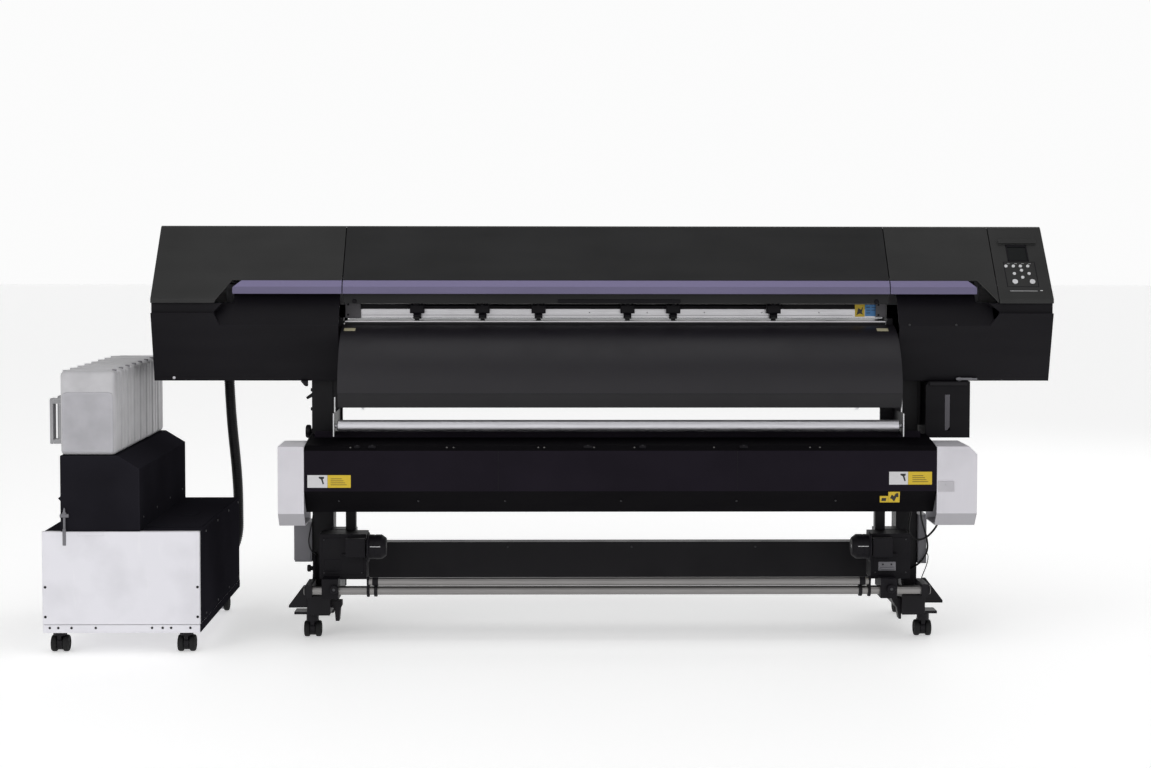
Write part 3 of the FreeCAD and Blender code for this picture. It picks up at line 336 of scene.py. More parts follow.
TANK_CAP = moulded("tank cap plastic", paint(126, 125, 129), 0.5)
GRIP_PLASTIC = moulded("pale grip plastic", paint(150, 150, 152), 0.5, gloss=0.4)
CLIP_PLASTIC = moulded("pale clip plastic", paint(184, 182, 187), 0.5)
SMOKED_WINDOW = moulded("smoked window", paint(88, 86, 92), 0.35)
GLASS = dark_glass("smoked display")
KEYS = moulded("pale key plastic", paint(200, 200, 203), 0.5)
WHITE_LABEL = sheet_label("white film", paint(204, 203, 205))
YELLOW_LABEL = sheet_label("yellow film", paint(206, 176, 40))
BLUE_LABEL = sheet_label("blue film", paint(70, 132, 190))
BUFF_LABEL = sheet_label("buff film", paint(176, 170, 142))
INK_LABEL = sheet_label("dark print", paint(30, 30, 30))

FINISHES = {
    "charcoal_cover": [CHARCOAL, CHARCOAL_ENDS],
    "black_cover": [BLACK, DRYER_BLACK, SHEET_BLACK],
    "lavender_trim": [TRIM],
    "black_steel": [BLACK_STEEL, APRON_BLACK],
    "satin_aluminium": [ALUMINIUM, PIPE],
    "bright_steel": [STEEL, DULL_STEEL, DARK_SCREW],
    "white_cover": [WHITE_STEEL, WHITE_PANEL],
    "grey_box": [GREY_STEEL, BRACKET_GREY, CLIP_PLASTIC],
    "tank_plastic": [TANK, TANK_FACE, TANK_CAP, GRIP_PLASTIC, SMOKED_WINDOW],
    "caster_tyre": [RUBBER],
    "roller_rubber": [ROLLER],
    "key_plastic": [KEYS],
    "display_glass": [GLASS],
    "cable_rubber": [CABLE],
    "hose_plastic": [HOSE],
}
NODES = {
    "charcoal_cover": "left_upper_cover right_upper_cover control_panel front_cover",
    "black_cover": "left_lower_cover right_lower_cover rear_cover dryer_housing trolley_body_cover "
    "tank_pedestal takeup_drive_unit takeup_idle_unit takeup_left_flange takeup_right_flange "
    "pinch_arms waste_ink_tank",
    "lavender_trim": "side_accent_trims front_accent_trim",
    "black_steel": "head_frame stand_legs stand_beam apron_heater stand_left_caster "
    "stand_right_caster trolley_left_caster trolley_right_caster",
    "satin_aluminium": "platen y_rail guide_pipe",
    "bright_steel": "takeup_guide_bar tension_bar grit_shaft rear_feed_bar",
    "white_cover": "dryer_end_covers trolley_front_panel trolley_base",
    "grey_box": "power_boxes print_carriage cutter_carriage",
    "tank_plastic": "ink_tanks",
    "caster_tyre": "stand_left_wheels stand_right_wheels stand_rear_wheels trolley_left_wheels "
    "trolley_right_wheels trolley_rear_wheels",
    "roller_rubber": "pinch_rollers",
    "key_plastic": "function_key_1 function_key_2 function_key_3 function_key_4 enter_key "
    "power_key jog_keys",
    "display_glass": "lcd_screen",
    "cable_rubber": "dryer_cable_thick dryer_cable_second dryer_cable_thin dryer_cable_left",
    "hose_plastic": "ink_hose",
}


OWN_FINISH = {
    "left_upper_cover": CHARCOAL_ENDS,
    "right_upper_cover": CHARCOAL_ENDS,
    "control_panel": CHARCOAL_ENDS,
    "dryer_housing": DRYER_BLACK,
    "trolley_body_cover": SHEET_BLACK,
    "tank_pedestal": SHEET_BLACK,
    "apron_heater": APRON_BLACK,
    "guide_pipe": PIPE,
    "takeup_guide_bar": DULL_STEEL,
    "trolley_base": WHITE_PANEL,
}


def dress_cad_parts():
    """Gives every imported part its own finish, or else the first one of its slot."""
    for slot, names in NODES.items():
        for name in names.split():
            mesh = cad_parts[name].data
            mesh.materials.clear()
            mesh.materials.append(OWN_FINISH.get(name, FINISHES[slot][0]))


# ---- building pieces

TO_FRAME = Matrix.Scale(MM, 4) @ Matrix.Translation(DRAWING_TO_FRAME)
UNMOVED = Matrix.Identity(4)
FRONTWARD, BACKWARD = (0, -1, 0), (0, 1, 0)
LEFTWARD, RIGHTWARD, UPWARD, DOWNWARD = (-1, 0, 0), (1, 0, 0), (0, 0, 1), (0, 0, -1)
CORNERS_OF = {
    "x": lambda u, v, t: (t, u, v),
    "y": lambda u, v, t: (u, t, v),
    "z": lambda u, v, t: (u, v, t),
}


class Shape:
    """One piece under construction, in the drawing's millimetres."""

    def __init__(self):
        self.bm = bmesh.new()

    def ease(self, corners, amount, steps=2):
        """Rounds off every edge that starts at these corners."""
        if amount:
            edges = list({edge for corner in corners for edge in corner.link_edges})
            bmesh.ops.bevel(
                self.bm, geom=edges, offset=amount, segments=steps, affect="EDGES", profile=0.5
            )
        return self

    def block(self, low, high, eased=1.0, steps=2):
        """A rectangular lump between two corners."""
        corners = bmesh.ops.create_cube(self.bm, size=1.0)["verts"]
        for corner in corners:
            corner.co = Vector(a + (c + 0.5) * (b - a) for a, b, c in zip(low, high, corner.co))
        return self.ease(corners, eased, steps)

    def prism(self, axis, outline, low, high, eased=0.0, steps=2):
        """An outline drawn across one axis and run along it."""
        spot = CORNERS_OF[axis]
        ends = [[self.bm.verts.new(spot(u, v, t)) for u, v in outline] for t in (low, high)]
        self.bm.faces.new(ends[0])
        self.bm.faces.new(reversed(ends[1]))
        for i in range(len(outline)):
            self.bm.faces.new((ends[0][i - 1], ends[0][i], ends[1][i], ends[1][i - 1]))
        return self.ease(ends[0] + ends[1], eased, steps)

    def turned(self, start, axis, profile, steps=32):
        """A lathe-turned lump: (distance, radius) pairs from start along an axis."""
        axis = Vector(axis).normalized()
        across = axis.orthogonal().normalized()
        beside = axis.cross(across)
        rings = []
        for along, radius in profile:
            centre = Vector(start) + axis * along
            turns = [math.tau * i / steps for i in range(steps if radius else 1)]
            spokes = [across * math.cos(turn) + beside * math.sin(turn) for turn in turns]
            rings.append([self.bm.verts.new(centre + spoke * radius) for spoke in spokes])
        for first, second in zip(rings, rings[1:]):
            for i in range(steps):
                corners = [ring[k % len(ring)] for ring, k in
                           ((first, i), (first, i + 1), (second, i + 1), (second, i))]
                self.bm.faces.new(dict.fromkeys(corners))
        for ring in (rings[0], rings[-1]):
            if len(ring) > 1:
                self.bm.faces.new(ring)
        return self

    def tube(self, route, radius, steps=14):
        """A round bar along straight runs, mitred at each corner."""
        route = [Vector(point) for point in route]
        runs = [(b - a).normalized() for a, b in zip(route, route[1:])]
        up = runs[0].orthogonal().normalized()
        rings = []
        for i, point in enumerate(route):
            into, out = runs[max(i - 1, 0)], runs[min(i, len(runs) - 1)]
            middle = (into + out).normalized()
            up = (up - middle * up.dot(middle)).normalized()
            side = middle.cross(up)
            turns = [math.tau * k / steps for k in range(steps)]
            rings.append([self.bm.verts.new(point + (up * math.cos(t) + side * math.sin(t)) * radius)
                          for t in turns])
        for first, second in zip(rings, rings[1:]):
            for i in range(steps):
                self.bm.faces.new((first[i - 1], first[i], second[i], second[i - 1]))
        self.bm.faces.new(rings[0])
        self.bm.faces.new(rings[-1])
        return self

    def screw(self, place, facing, radius=3.2):
        """A pan-head screw with a round socket."""
        return self.turned(place, facing, [
            (-0.6, radius), (0.5 * radius, radius), (0.8 * radius, 0.72 * radius),
            (0.8 * radius, 0.42 * radius), (0.35 * radius, 0.36 * radius), (0.35 * radius, 0)], 16)

    def made(self, name, material, body="root", stands_for=(), lie=UNMOVED):
        """Ends the piece: sets it in the frame, smooths it and puts it on its body."""
        bmesh.ops.recalc_face_normals(self.bm, faces=self.bm.faces)
        self.bm.transform(TO_FRAME @ lie)
        mesh = bpy.data.meshes.new(name)
        self.bm.to_mesh(mesh)
        self.bm.free()
        mesh.shade_smooth()
        mesh.set_sharp_from_angle(angle=SMOOTH_ANGLE)
        mesh.materials.append(material)
        piece = bpy.data.objects.new(name, mesh)
        bpy.context.scene.collection.objects.link(piece)
        piece.modifiers.new("even shading", "WEIGHTED_NORMAL").keep_sharp = True
        return seat(piece, body, stands_for)


def seat(piece, body, stands_for=()):
    """Puts a piece on its body, and in place of the CAD parts that it stands for."""
    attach(piece, body)
    if stands_for:
        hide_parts(*stands_for)
    return piece


# ---- cords

HOSE_ROUTE = [
    (-1214, 420, 794), (-1214, 446, 695), (-1214, 494, 590), (-1214, 550, 500),
    (-1215, 600, 408), (-1216, 622, 318), (-1216, 622, 213), (-1266, 622, 125),
    (-1354, 622, 75), (-1455, 622, 75)]
CABLES = {
    "dryer_cable_thick": (6.4, 257, [
        (1044, 14, 368), (1041, 30, 348), (1029, 52, 321), (1010, 64, 300), (988, 68, 293),
        (968, 68, 302), (957, 66, 323), (957, 58, 350), (958, 42, 378), (960, 18, 406)]),
    "dryer_cable_second": (6, 263, [
        (984, 18, 406), (990, 36, 374), (1003, 62, 338), (1017, 82, 302), (1023, 86, 264),
        (1010, 84, 234), (986, 88, 208), (966, 110, 196)]),
    "dryer_cable_thin": (3, 145, [
        (1019, 128, 250), (1029, 120, 244), (1024, 90, 228), (1010, 56, 208), (996, 34, 190),
        (987, 20, 172)]),
    "dryer_cable_left": (4, 205, [
        (-894, 20, 406), (-898, 40, 366), (-910, 56, 326), (-916, 62, 288), (-908, 76, 256),
        (-890, 110, 238)]),
}


def smooth_line(name, route, diameter=0.0):
    """One smooth curve whose control points are the route's."""
    curve = bpy.data.curves.new(name, "CURVE")
    curve.dimensions = "3D"
    curve.resolution_u = 24
    curve.bevel_depth = diameter * MM / 2
    curve.bevel_resolution = 5
    curve.use_fill_caps = True
    spline = curve.splines.new("NURBS")
    spline.points.add(len(route) - 1)
    for point, place in zip(spline.points, route):
        point.co = (*at(*place), 1.0)
    spline.order_u = 3
    spline.use_endpoint_u = True
    piece = bpy.data.objects.new(name, curve)
    bpy.context.scene.collection.objects.link(piece)
    return piece


def dryer_cables():
    """The four thin cables that hang between the dryer, the legs and the power boxes."""
    for name, (diameter, length, route) in CABLES.items():
        cable = smooth_line(name + "_lead", route, diameter)
        cable.data.materials.append(CABLE)
        seat(cable, "root", [name])


def ribbed_hose():
    """The corrugated ink hose: a rib every few millimetres along its smooth line."""
    outer, valley, rib_pitch, sides = 17.0, 14.6, 7.0, 28
    guide = smooth_line("hose_guide", HOSE_ROUTE)
    bpy.context.view_layer.update()
    line = bpy.data.meshes.new_from_object(guide)
    path = [vertex.co.copy() for vertex in line.vertices]
    bpy.data.objects.remove(guide)
    reach = [0.0]
    for a, b in zip(path, path[1:]):
        reach.append(reach[-1] + (b - a).length)
    shape = bmesh.new()
    count = round(reach[-1] / (rib_pitch * MM / 6))
    rings, k, up = [], 0, Vector((1, 0, 0))
    for i in range(count + 1):
        goal = reach[-1] * i / count
        while k < len(path) - 2 and reach[k + 1] < goal:
            k += 1
        along = (path[k + 1] - path[k]).normalized()
        centre = path[k] + along * (goal - reach[k])
        up = (up - along * up.dot(along)).normalized()
        side = along.cross(up)
        swell = 0.5 - 0.5 * math.cos(math.tau * i / 6)
        radius = (valley + (outer - valley) * swell) * MM
        turns = [math.tau * t / sides for t in range(sides)]
        rings.append([shape.verts.new(centre + (up * math.cos(t) + side * math.sin(t)) * radius)
                      for t in turns])
    for first, second in zip(rings, rings[1:]):
        for t in range(sides):
            shape.faces.new((first[t - 1], first[t], second[t], second[t - 1]))
    shape.faces.new(rings[0])
    shape.faces.new(rings[-1])
    bmesh.ops.recalc_face_normals(shape, faces=shape.faces)
    mesh = bpy.data.meshes.new("ink_hose_ribbed")
    shape.to_mesh(mesh)
    shape.free()
    mesh.shade_smooth()
    mesh.materials.append(HOSE)
    hose = bpy.data.objects.new("ink_hose_ribbed", mesh)
    bpy.context.scene.collection.objects.link(hose)
    seat(hose, "root", ["ink_hose"])


# ---- head

LEFT_LEG, RIGHT_LEG = -908, 991
HEAD_TOP, SLOPE_FOOT, SLOPE_DEPTH = 1273, 1049, 192
SLOPE = math.atan2(HEAD_TOP - SLOPE_FOOT, SLOPE_DEPTH)
ON_SLOPE = Matrix.Translation((0, 0, SLOPE_FOOT)) @ Matrix.Rotation(SLOPE, 4, "X")
LOWER_FACE_TOP, LOWER_FACE_FOOT, LOWER_FACE_SET_BACK = 1006, 794, 59


def lower_face(level):
    """How far back the head's lower front face is at a level."""
    drop = (LOWER_FACE_TOP - level) / (LOWER_FACE_TOP - LOWER_FACE_FOOT)
    return drop * LOWER_FACE_SET_BACK


def head_screws():
    """Two screws along the fold of the right lower cover."""
    shape = Shape()
    for x in (945, 1089):
        shape.screw((x, lower_face(970) + 1.0, 970), FRONTWARD, 3.4)
    shape.made("head_screws", DARK_SCREW)


def head_lock_lever():
    """The flat grey catch under the right end of the head, with its pivot."""
    shape = Shape()
    shape.block((1098, 44, 796), (1148, 58, 804), 2.5, 3)
    shape.block((1146, 46, 797), (1164, 56, 803), 2.0)
    shape.turned((1108, 51, 804), UPWARD, [(-10, 6), (0.5, 6), (1.5, 5), (1.5, 0)], 20)
    shape.made("head_lock_lever", GREY_STEEL)


def panel_marks():
    """The fine line under the panel's keys and the small raised tick beside the display."""
    shape = Shape()
    shape.block((1257, 33.2, -0.4), (1343, 34.8, 0.3), 0.2, 1)
    shape.block((1351, 34, -0.4), (1359, 37, 0.5), 0.3, 1)
    for x in (1267, 1289, 1311, 1333):
        shape.block((x - 4, 143, -0.3), (x + 4, 144.2, 0.3), 0.15, 1)
    shape.made("panel_marks", KEYS, lie=ON_SLOPE)


def panel_bezel():
    """A thin frame that stands round the display, and the membrane edge round the keys."""
    shape = Shape()
    for left, foot, right, top in ((1267, 211, 1333, 219), (1267, 153, 1333, 157),
                                   (1267, 153, 1271, 219), (1329, 153, 1333, 219)):
        shape.block((left, foot, -0.5), (right, top, 1.6), 0.6)
    for left, foot, right, top in ((1251, 52, 1253.4, 149), (1348, 52, 1350.4, 149),
                                   (1251, 149, 1350.4, 151), (1251, 50, 1350.4, 52)):
        shape.block((left, foot, -0.6), (right, top, 0.4), 0.3, 1)
    shape.made("panel_bezel", BLACK, lie=ON_SLOPE)


def cover_grip():
    """The finger edge along the front cover's foot and its two rubber buffers."""
    shape = Shape()
    shape.block((-140, 58.6, 1036), (240, 62.4, 1046), 1.2)
    for x in (-770, 850):
        shape.turned((x, 63.5, 1040), FRONTWARD, [(-1, 7), (3, 7), (5, 5), (5, 0)], 20)
    shape.made("cover_grip", BLACK, "front_cover")


def lower_cover_button():
    """The small pale button low on the left lower cover."""
    shape = Shape()
    shape.turned((-1327, lower_face(803) + 1.5, 803), FRONTWARD,
                 [(0, 4.6), (3, 4.6), (4, 3.6), (4, 1.8), (3.4, 1.5), (3.4, 0)], 24)
    shape.made("lower_cover_button", WHITE_STEEL)


def head_hooks():
    """Cable hooks and hand knobs down the outside of the left leg and under the head."""
    shape = Shape()
    shape.prism("y", [(-936, 794), (-914, 794), (-914, 777), (-921, 777), (-927, 783)], 46, 66, 1.5)
    shape.prism("y", [(-908, 752), (-927, 738), (-923, 731), (-908, 738)], 112, 140, 1.5)
    shape.turned((LEFT_LEG, 122, 630), LEFTWARD,
                 [(0, 9), (4, 9), (5, 19), (9, 21), (16, 21), (20, 18), (20, 7), (17, 6), (17, 0)], 28)
    for level in (200, 232):
        shape.turned((LEFT_LEG, 112, level), LEFTWARD,
                     [(0, 7), (6, 7), (7, 11), (15, 11), (17, 9), (17, 0)])
    shape.made("leg_hooks_and_knobs", BLACK_STEEL)


def waste_tank_mounting():
    """Brackets between the right column, the pipe and the waste ink tank, and its level window."""
    shape = Shape()
    shape.block((870, 96, 640), (925.5, 109.5, 793), 3, 3)
    shape.block((991, 120, 650), (1002, 180, 793), 1.5)
    shape.block((1012, 34, 780), (1130, 40.5, 792), 2)
    shape.made("waste_tank_brackets", BLACK_STEEL)
    window = Shape()
    window.prism("y", [(1062.5, 752), (1077.5, 752), (1077.5, 652), (1070, 641), (1062.5, 641)],
                 40.5, 44, 0.8)
    window.made("waste_tank_window", SMOKED_WINDOW)


# ---- media opening

STRIP_FACE = 127.4
PINCH_PLACES = (-579, -375, -200, 78, 221, 535)
PIPE_AXIS = (-60, 665)


def film(shape, low, high, thick=0.5):
    """A sheet of printed film: low and high are opposite corners of its front face."""
    return shape.block((low[0], low[1], low[2]), (high[0], low[1] + thick, high[2]), 0.2, 1)


def opening_labels():
    """A yellow and a blue film at the right end of the strip, with simple marks."""
    yellow = Shape()
    film(yellow, (793, STRIP_FACE, 990), (824, 0, 1029), 1.5)
    yellow.made("strip_yellow_label", YELLOW_LABEL)
    blue = Shape()
    film(blue, (825, STRIP_FACE, 992), (861, 0, 1028), 1.5)
    blue.made("strip_blue_label", BLUE_LABEL)
    marks = Shape()
    marks.prism("y", [(798, 995), (804, 1018), (812, 1012), (819, 1023), (815, 1004), (820, 996),
                      (809, 1001)], STRIP_FACE - 0.3, STRIP_FACE + 0.1)
    for x, level in ((829, 1019), (829, 1010), (829, 1001), (845, 1019), (845, 1010)):
        film(marks, (x, STRIP_FACE - 0.3, level), (x + 12, 0, level + 2))
    marks.made("strip_label_marks", INK_LABEL)


def apron_patches():
    """Two pale films that lie on the shoulder of the apron, near its ends."""
    shape = Shape()
    centre_y, centre_z, radius, film_height = 115.5, 765.0, 203.5, 0.6
    bend = [math.radians(angle) for angle in (65.2, 66.6, 68.0, 69.4, 70.8)]

    def arc(reach, angles):
        return [(centre_y - reach * math.cos(a), centre_z + reach * math.sin(a)) for a in angles]

    outline = arc(radius + film_height, bend) + arc(radius + 0.1, reversed(bend))
    for low, high in ((-800, -765), (848, 883)):
        shape.prism("x", outline, low, high)
    shape.made("apron_patches", BUFF_LABEL)


def strip_details():
    """The bright strip's folded edge, its screws and the scale groove along it."""
    shape = Shape()
    shape.block((-795, 126.4, 984.5), (877, 128, 987.5), 0.5)
    for x in range(-760, 860, 180):
        shape.screw((x, 127.8, 1003), FRONTWARD, 2.4)
    shape.made("strip_edge_and_screws", STEEL)
    groove = Shape()
    groove.block((-790, 127.3, 994), (786, 128.1, 995.2), 0.2, 1)
    groove.made("strip_groove", GREY_STEEL)


def strip_surround():
    """A black band standing in for the shaded gap above the strip, the lip over it, its grey end
    brackets, and the bed's front trim.
    """
    band, lip, brackets, holes, trim = (Shape() for _ in range(5))
    # painted shade: a black band fills the shaded gap under the front cover
    band.block((-757, 128.4, 1014), (866, 129.8, 1029), 0.4)
    band.made("strip_gap_painted_shade", BLACK)
    lip.block((-757, 127.6, 1029.5), (866, 129.8, 1034), 0.8)
    lip.made("strip_bright_lip", DULL_STEEL)
    for low, high, foot in ((-803.4, -755.4, 985.4), (856.4, 888.4, 989.4)):
        brackets.block((low, 116.4, foot), (high, 118.2, 1038.6), 0.5)
        for level in (996, 1028):
            holes.turned((low + 9, 116.6, level), FRONTWARD,
                         [(-1, 3.4), (0.4, 3.4), (0.9, 2.6), (0.9, 0)], 16)
    trim.block((-802, 90.8, 958), (884, 91.9, 974.5), 0.4)
    trim.made("bed_front_trim", BLACK_STEEL)
    brackets.made("strip_end_brackets", BRACKET_GREY)
    holes.made("strip_bracket_screws", BLACK_STEEL)


def leg_closing_plate():
    """The dark plate between the left leg and the apron's edge, under the head."""
    shape = Shape()
    shape.block((-843, 112, 640), (-812, 116, 794), 1.0)
    shape.made("leg_closing_plate", BLACK_STEEL)


def pinch_arm_fittings():
    """A release tab, two springs and a roller guard on every pinch arm."""
    shape, springs = Shape(), Shape()
    coils, coil_radius, pitch, wire_radius = 6, 3.4, 3.6, 0.7
    turns = [math.tau * i / 12 for i in range(12 * coils)]
    for x in PINCH_PLACES:
        shape.block((x - 20, 98.5, 1003), (x + 20, 103, 1026), 1.5)
        shape.prism("x", [(100, 1002), (92, 996), (92, 992), (96, 991), (104, 998)], x - 9, x + 9, 0.8)
        shape.block((x - 5, 96, 1026), (x + 5, 112, 1031), 1.2)
        for side in (-1, 1):
            springs.tube([(x + side * 15 + coil_radius * math.cos(turn),
                           112 + coil_radius * math.sin(turn),
                           1003 + pitch * turn / math.tau) for turn in turns], wire_radius, 8)
    shape.made("pinch_arm_tabs", BLACK, "pinch_arms")
    springs.made("pinch_arm_springs", STEEL, "pinch_arms")


def pipe_end_plates():
    """Bare steel edges of the plates and hooks that carry the guide pipe, and its end caps."""
    shape = Shape()
    for x in (-822, 910):
        shape.block((x - 0.3, -87.8, 634), (x + 3.3, -85.6, 705), 0.6)
        shape.block((x - 0.3, -51.6, 704), (x + 3.3, -49.6, 752), 0.6)
    shape.made("pipe_plate_edges", STEEL)
    caps = Shape()
    for x, way in ((-808.5, LEFTWARD), (899.5, RIGHTWARD)):
        caps.turned((x, *PIPE_AXIS), way, [(-2, 17.2), (1, 17.2), (2.5, 15), (2.5, 6.4), (-1, 6.2)])
    caps.made("pipe_end_caps", BLACK, "guide_pipe")


# ---- dryer

DRYER_FACE = -150.5
DRYER_FOLD, DRYER_FOOT, DRYER_SET_BACK = 476, 406, 55


def dryer_labels():
    """Plain stand-ins for the printed films: a pale half, a yellow half and simple marks."""
    pale, yellow, marks = Shape(), Shape(), Shape()
    ink = DRYER_FACE - 0.3
    for left, fold, right, foot, top in ((-893, -833, -763, 487, 525), (858, 915, 987.5, 495.5, 534.5)):
        film(pale, (left, DRYER_FACE, foot), (fold, 0, top))
        film(yellow, (fold + 0.5, DRYER_FACE, foot), (right, 0, top))
        marks.prism("y", [
            (left + 34, foot + 33), (left + 50, foot + 33), (left + 50, foot + 28),
            (left + 46, foot + 26), (left + 50, foot + 12), (left + 46, foot + 10),
            (left + 41, foot + 25), (left + 34, foot + 29),
        ], ink, ink + 0.5)
        for row in range(4):
            level = foot + 8 + row * 6
            film(marks, (left + 70, ink, level), (left + 118 - row * 5, 0, level + 1.6))
    pale.made("dryer_pale_labels", WHITE_LABEL)
    yellow.made("dryer_yellow_labels", YELLOW_LABEL)
    marks.made("dryer_label_marks", INK_LABEL)


def dryer_small_label():
    """Two yellow films on the dryer's lower slope."""
    lean = math.atan2(DRYER_SET_BACK, DRYER_FOLD - DRYER_FOOT)
    lie = Matrix.Translation((0, -150, DRYER_FOLD)) @ Matrix.Rotation(lean, 4, "X")
    shape, marks = Shape(), Shape()
    shape.prism("y", [(835, -48), (860, -48), (857.5, -21), (832.5, -21)], -1.0, 0)
    shape.prism("y", [(860.5, -48), (895, -48), (891, -3), (856.5, -3)], -1.0, 0)
    shape.made("dryer_slope_labels", YELLOW_LABEL, lie=lie)
    marks.prism("y", [(864, -30), (868, -14), (875, -22), (880, -8), (887, -8), (889, -26), (883, -24),
                      (878, -44), (871, -34)], -1.3, -0.9)
    marks.block((839, -1.3, -42), (853, -0.9, -29), 0.2, 1)
    marks.made("dryer_slope_label_marks", INK_LABEL, lie=lie)


def dryer_fittings():
    """The dryer's fold screws, top latch tabs and screws, middle seams and rear lip."""
    steel, tabs, bright, lip = Shape(), Shape(), Shape(), Shape()
    out_of_slope, out_of_top = (0, -0.786, -0.618), (0, -0.5, 0.86)
    for x in (-801, -562, -300, 50, 400, 700):
        steel.screw((x, -126, 444), out_of_slope, 3.0)
    for x, width in ((-745, 16), (-700, 22), (-50, 26), (115, 20), (420, 24)):
        tabs.block((x - width / 2, -141, 604.5), (x + width / 2, -124, 611.5), 1.5)
        steel.screw((x, -131, 611.2), out_of_top, 3.0)
    for x in (-320, 400):
        tabs.block((x - 1, -150.4, 480), (x + 1, -149, 596), 0.3, 1)
    steel.made("dryer_screws", DARK_SCREW)
    tabs.made("dryer_tabs_and_seams", BLACK)
    for x in (-765, -745, -475, -455, -200, -182, -50, -32, 90, 115, 330, 420, 620, 650):
        bright.screw((x, -136, 606), out_of_top, 2.6)
    bright.made("dryer_latch_screws", DULL_STEEL)
    lip.block((-885, -22, 590), (975, -18, 645), 1.5)
    lip.made("dryer_rear_lip", DRYER_BLACK)


def end_cover_clip():
    """The moulded grey clip on the right white end, with its screw."""
    shape = Shape()
    shape.block((1006, -154.4, 474), (1054, -146, 506), 2.4, 3)
    shape.made("end_cover_clip", CLIP_PLASTIC)
    screw = Shape()
    screw.screw((1028, -154.2, 494), FRONTWARD, 1.6)
    screw.made("end_cover_clip_screw", STEEL)


def end_cover_screws():
    """Four screws on the outside of each white end cover."""
    shape = Shape()
    for y in (-100, -20):
        for level in (440, 585):
            shape.screw((-981.8, y, level), LEFTWARD, 3.2)
            shape.screw((1123.8, y, level - 30), RIGHTWARD, 3.2)
    shape.made("end_cover_screws", STEEL)


# ---- take-up

CHUCK_AXIS = (-50, 293)
BAR_AXIS = (-70, 162)
SWING_AXIS = (-78, 190.5)


def core_flange(side, face, inward):
    """A core chuck: ribbed disc, three bright gripping keys, stepped nose and end screw."""
    axis = (inward, 0, 0)
    middle_y, middle_z = CHUCK_AXIS
    body, keys = Shape(), Shape()
    body.turned((face, *CHUCK_AXIS), axis, [
        (-60, 10), (-20, 10), (3, 10), (3, 20), (5, 22), (5, 43), (6.5, 45), (9.5, 45), (11, 43),
        (11, 38), (13, 37.6), (26, 37.6), (27, 36.4), (29, 36.4), (30, 37.6), (49, 37.6), (51, 36),
        (60, 29.5), (63, 27), (63, 9), (60, 8), (60, 0)], 48)
    for turn in [math.tau * (i + 0.5) / 6 for i in range(6)]:
        y, z = middle_y + 30 * math.cos(turn), middle_z + 30 * math.sin(turn)
        body.turned((face + inward * 4.2, y, z), (-inward, 0, 0),
                    [(-0.5, 4), (1, 4), (1.6, 3), (1.6, 0)], 12)
    for turn in [math.tau * i / 3 + 0.9 for i in range(3)]:
        y, z = middle_y + 37.2 * math.cos(turn), middle_z + 37.2 * math.sin(turn)
        low, high = sorted((face + inward * 15, face + inward * 47))
        keys.tube([(low, y, z), (low + 4, y + 0.4, z), (high - 4, y + 0.4, z), (high, y, z)], 1.6, 10)
    keys.turned((face + inward * 60.5, *CHUCK_AXIS), axis,
                [(-1, 7), (1.5, 7), (2.4, 6), (2.4, 3), (1, 3), (1, 0)])
    flange = f"takeup_{side}_flange"
    body.made(f"takeup_{side}_chuck", BLACK, flange, [flange])
    keys.made(f"takeup_{side}_chuck_keys", STEEL, flange)


def takeup_unit_details(body, low, high, knob_x):
    """Cover seams, screws, a lever and a clamp knob on a take-up unit."""
    shape, steel = Shape(), Shape()
    middle = (low + high) / 2
    shape.block((low + 8, -36.4, 204), (high - 8, -34, 318), 1.2)
    shape.block((low + 16, -37.6, 216), (middle - 6, -35.8, 252), 0.8)
    shape.turned((knob_x, -94, 170), FRONTWARD,
                 [(0, 9), (3, 9), (4, 13), (11, 13), (13, 11), (13, 0)], 20)
    shape.block((middle - 4, -44, 262), (middle + 20, -36, 270), 2.0)
    for x, level in ((low + 14, 210), (high - 14, 210), (low + 14, 312), (high - 14, 312)):
        steel.screw((x, -36.3, level), FRONTWARD, 2.6)
    steel.turned((knob_x, -106.6, 170), FRONTWARD, [(0, 5), (1.2, 4), (1.2, 0)], 16)
    shape.made(body + "_fittings", BLACK, body)
    steel.made(body + "_screws", DARK_SCREW, body)


def idle_unit_bracket():
    """The small grey bracket on the front of the idle unit, with its two screws."""
    shape, screws = Shape(), Shape()
    shape.block((846, -39.5, 215), (900, -35, 243), 1.6)
    shape.block((852, -44, 219), (894, -38, 226), 1.2)
    for x in (860, 886):
        screws.screw((x, -39.3, 235), FRONTWARD, 2.6)
    shape.made("idle_unit_bracket", GREY_STEEL, "takeup_idle_unit")
    screws.made("idle_unit_bracket_screws", BLACK_STEEL, "takeup_idle_unit")


def tension_bar():
    """The swinging bar in front of the take-up, its two arms and the rings they turn on."""
    bar, arms = Shape(), Shape()
    bar.turned((-716, *SWING_AXIS), RIGHTWARD,
               [(0, 0), (0, 11.5), (1, 12.5), (1525, 12.5), (1526, 11.5), (1526, 0)], 32)
    bar.made("tension_bar_rod", DULL_STEEL, "tension_bar", ["tension_bar"])
    for low in (-722, 808):
        arms.turned((low, *BAR_AXIS), RIGHTWARD,
                    [(0, 13.8), (0, 19), (1, 20), (7, 20), (8, 19), (8, 13.8)], 32)
        arms.prism("x", [(-90, 198), (-84, 206), (-70, 205), (-62, 188), (-60, 170), (-82, 166)],
                   low, low + 8, 0.8)
    arms.made("tension_bar_arms", BLACK, "tension_bar")


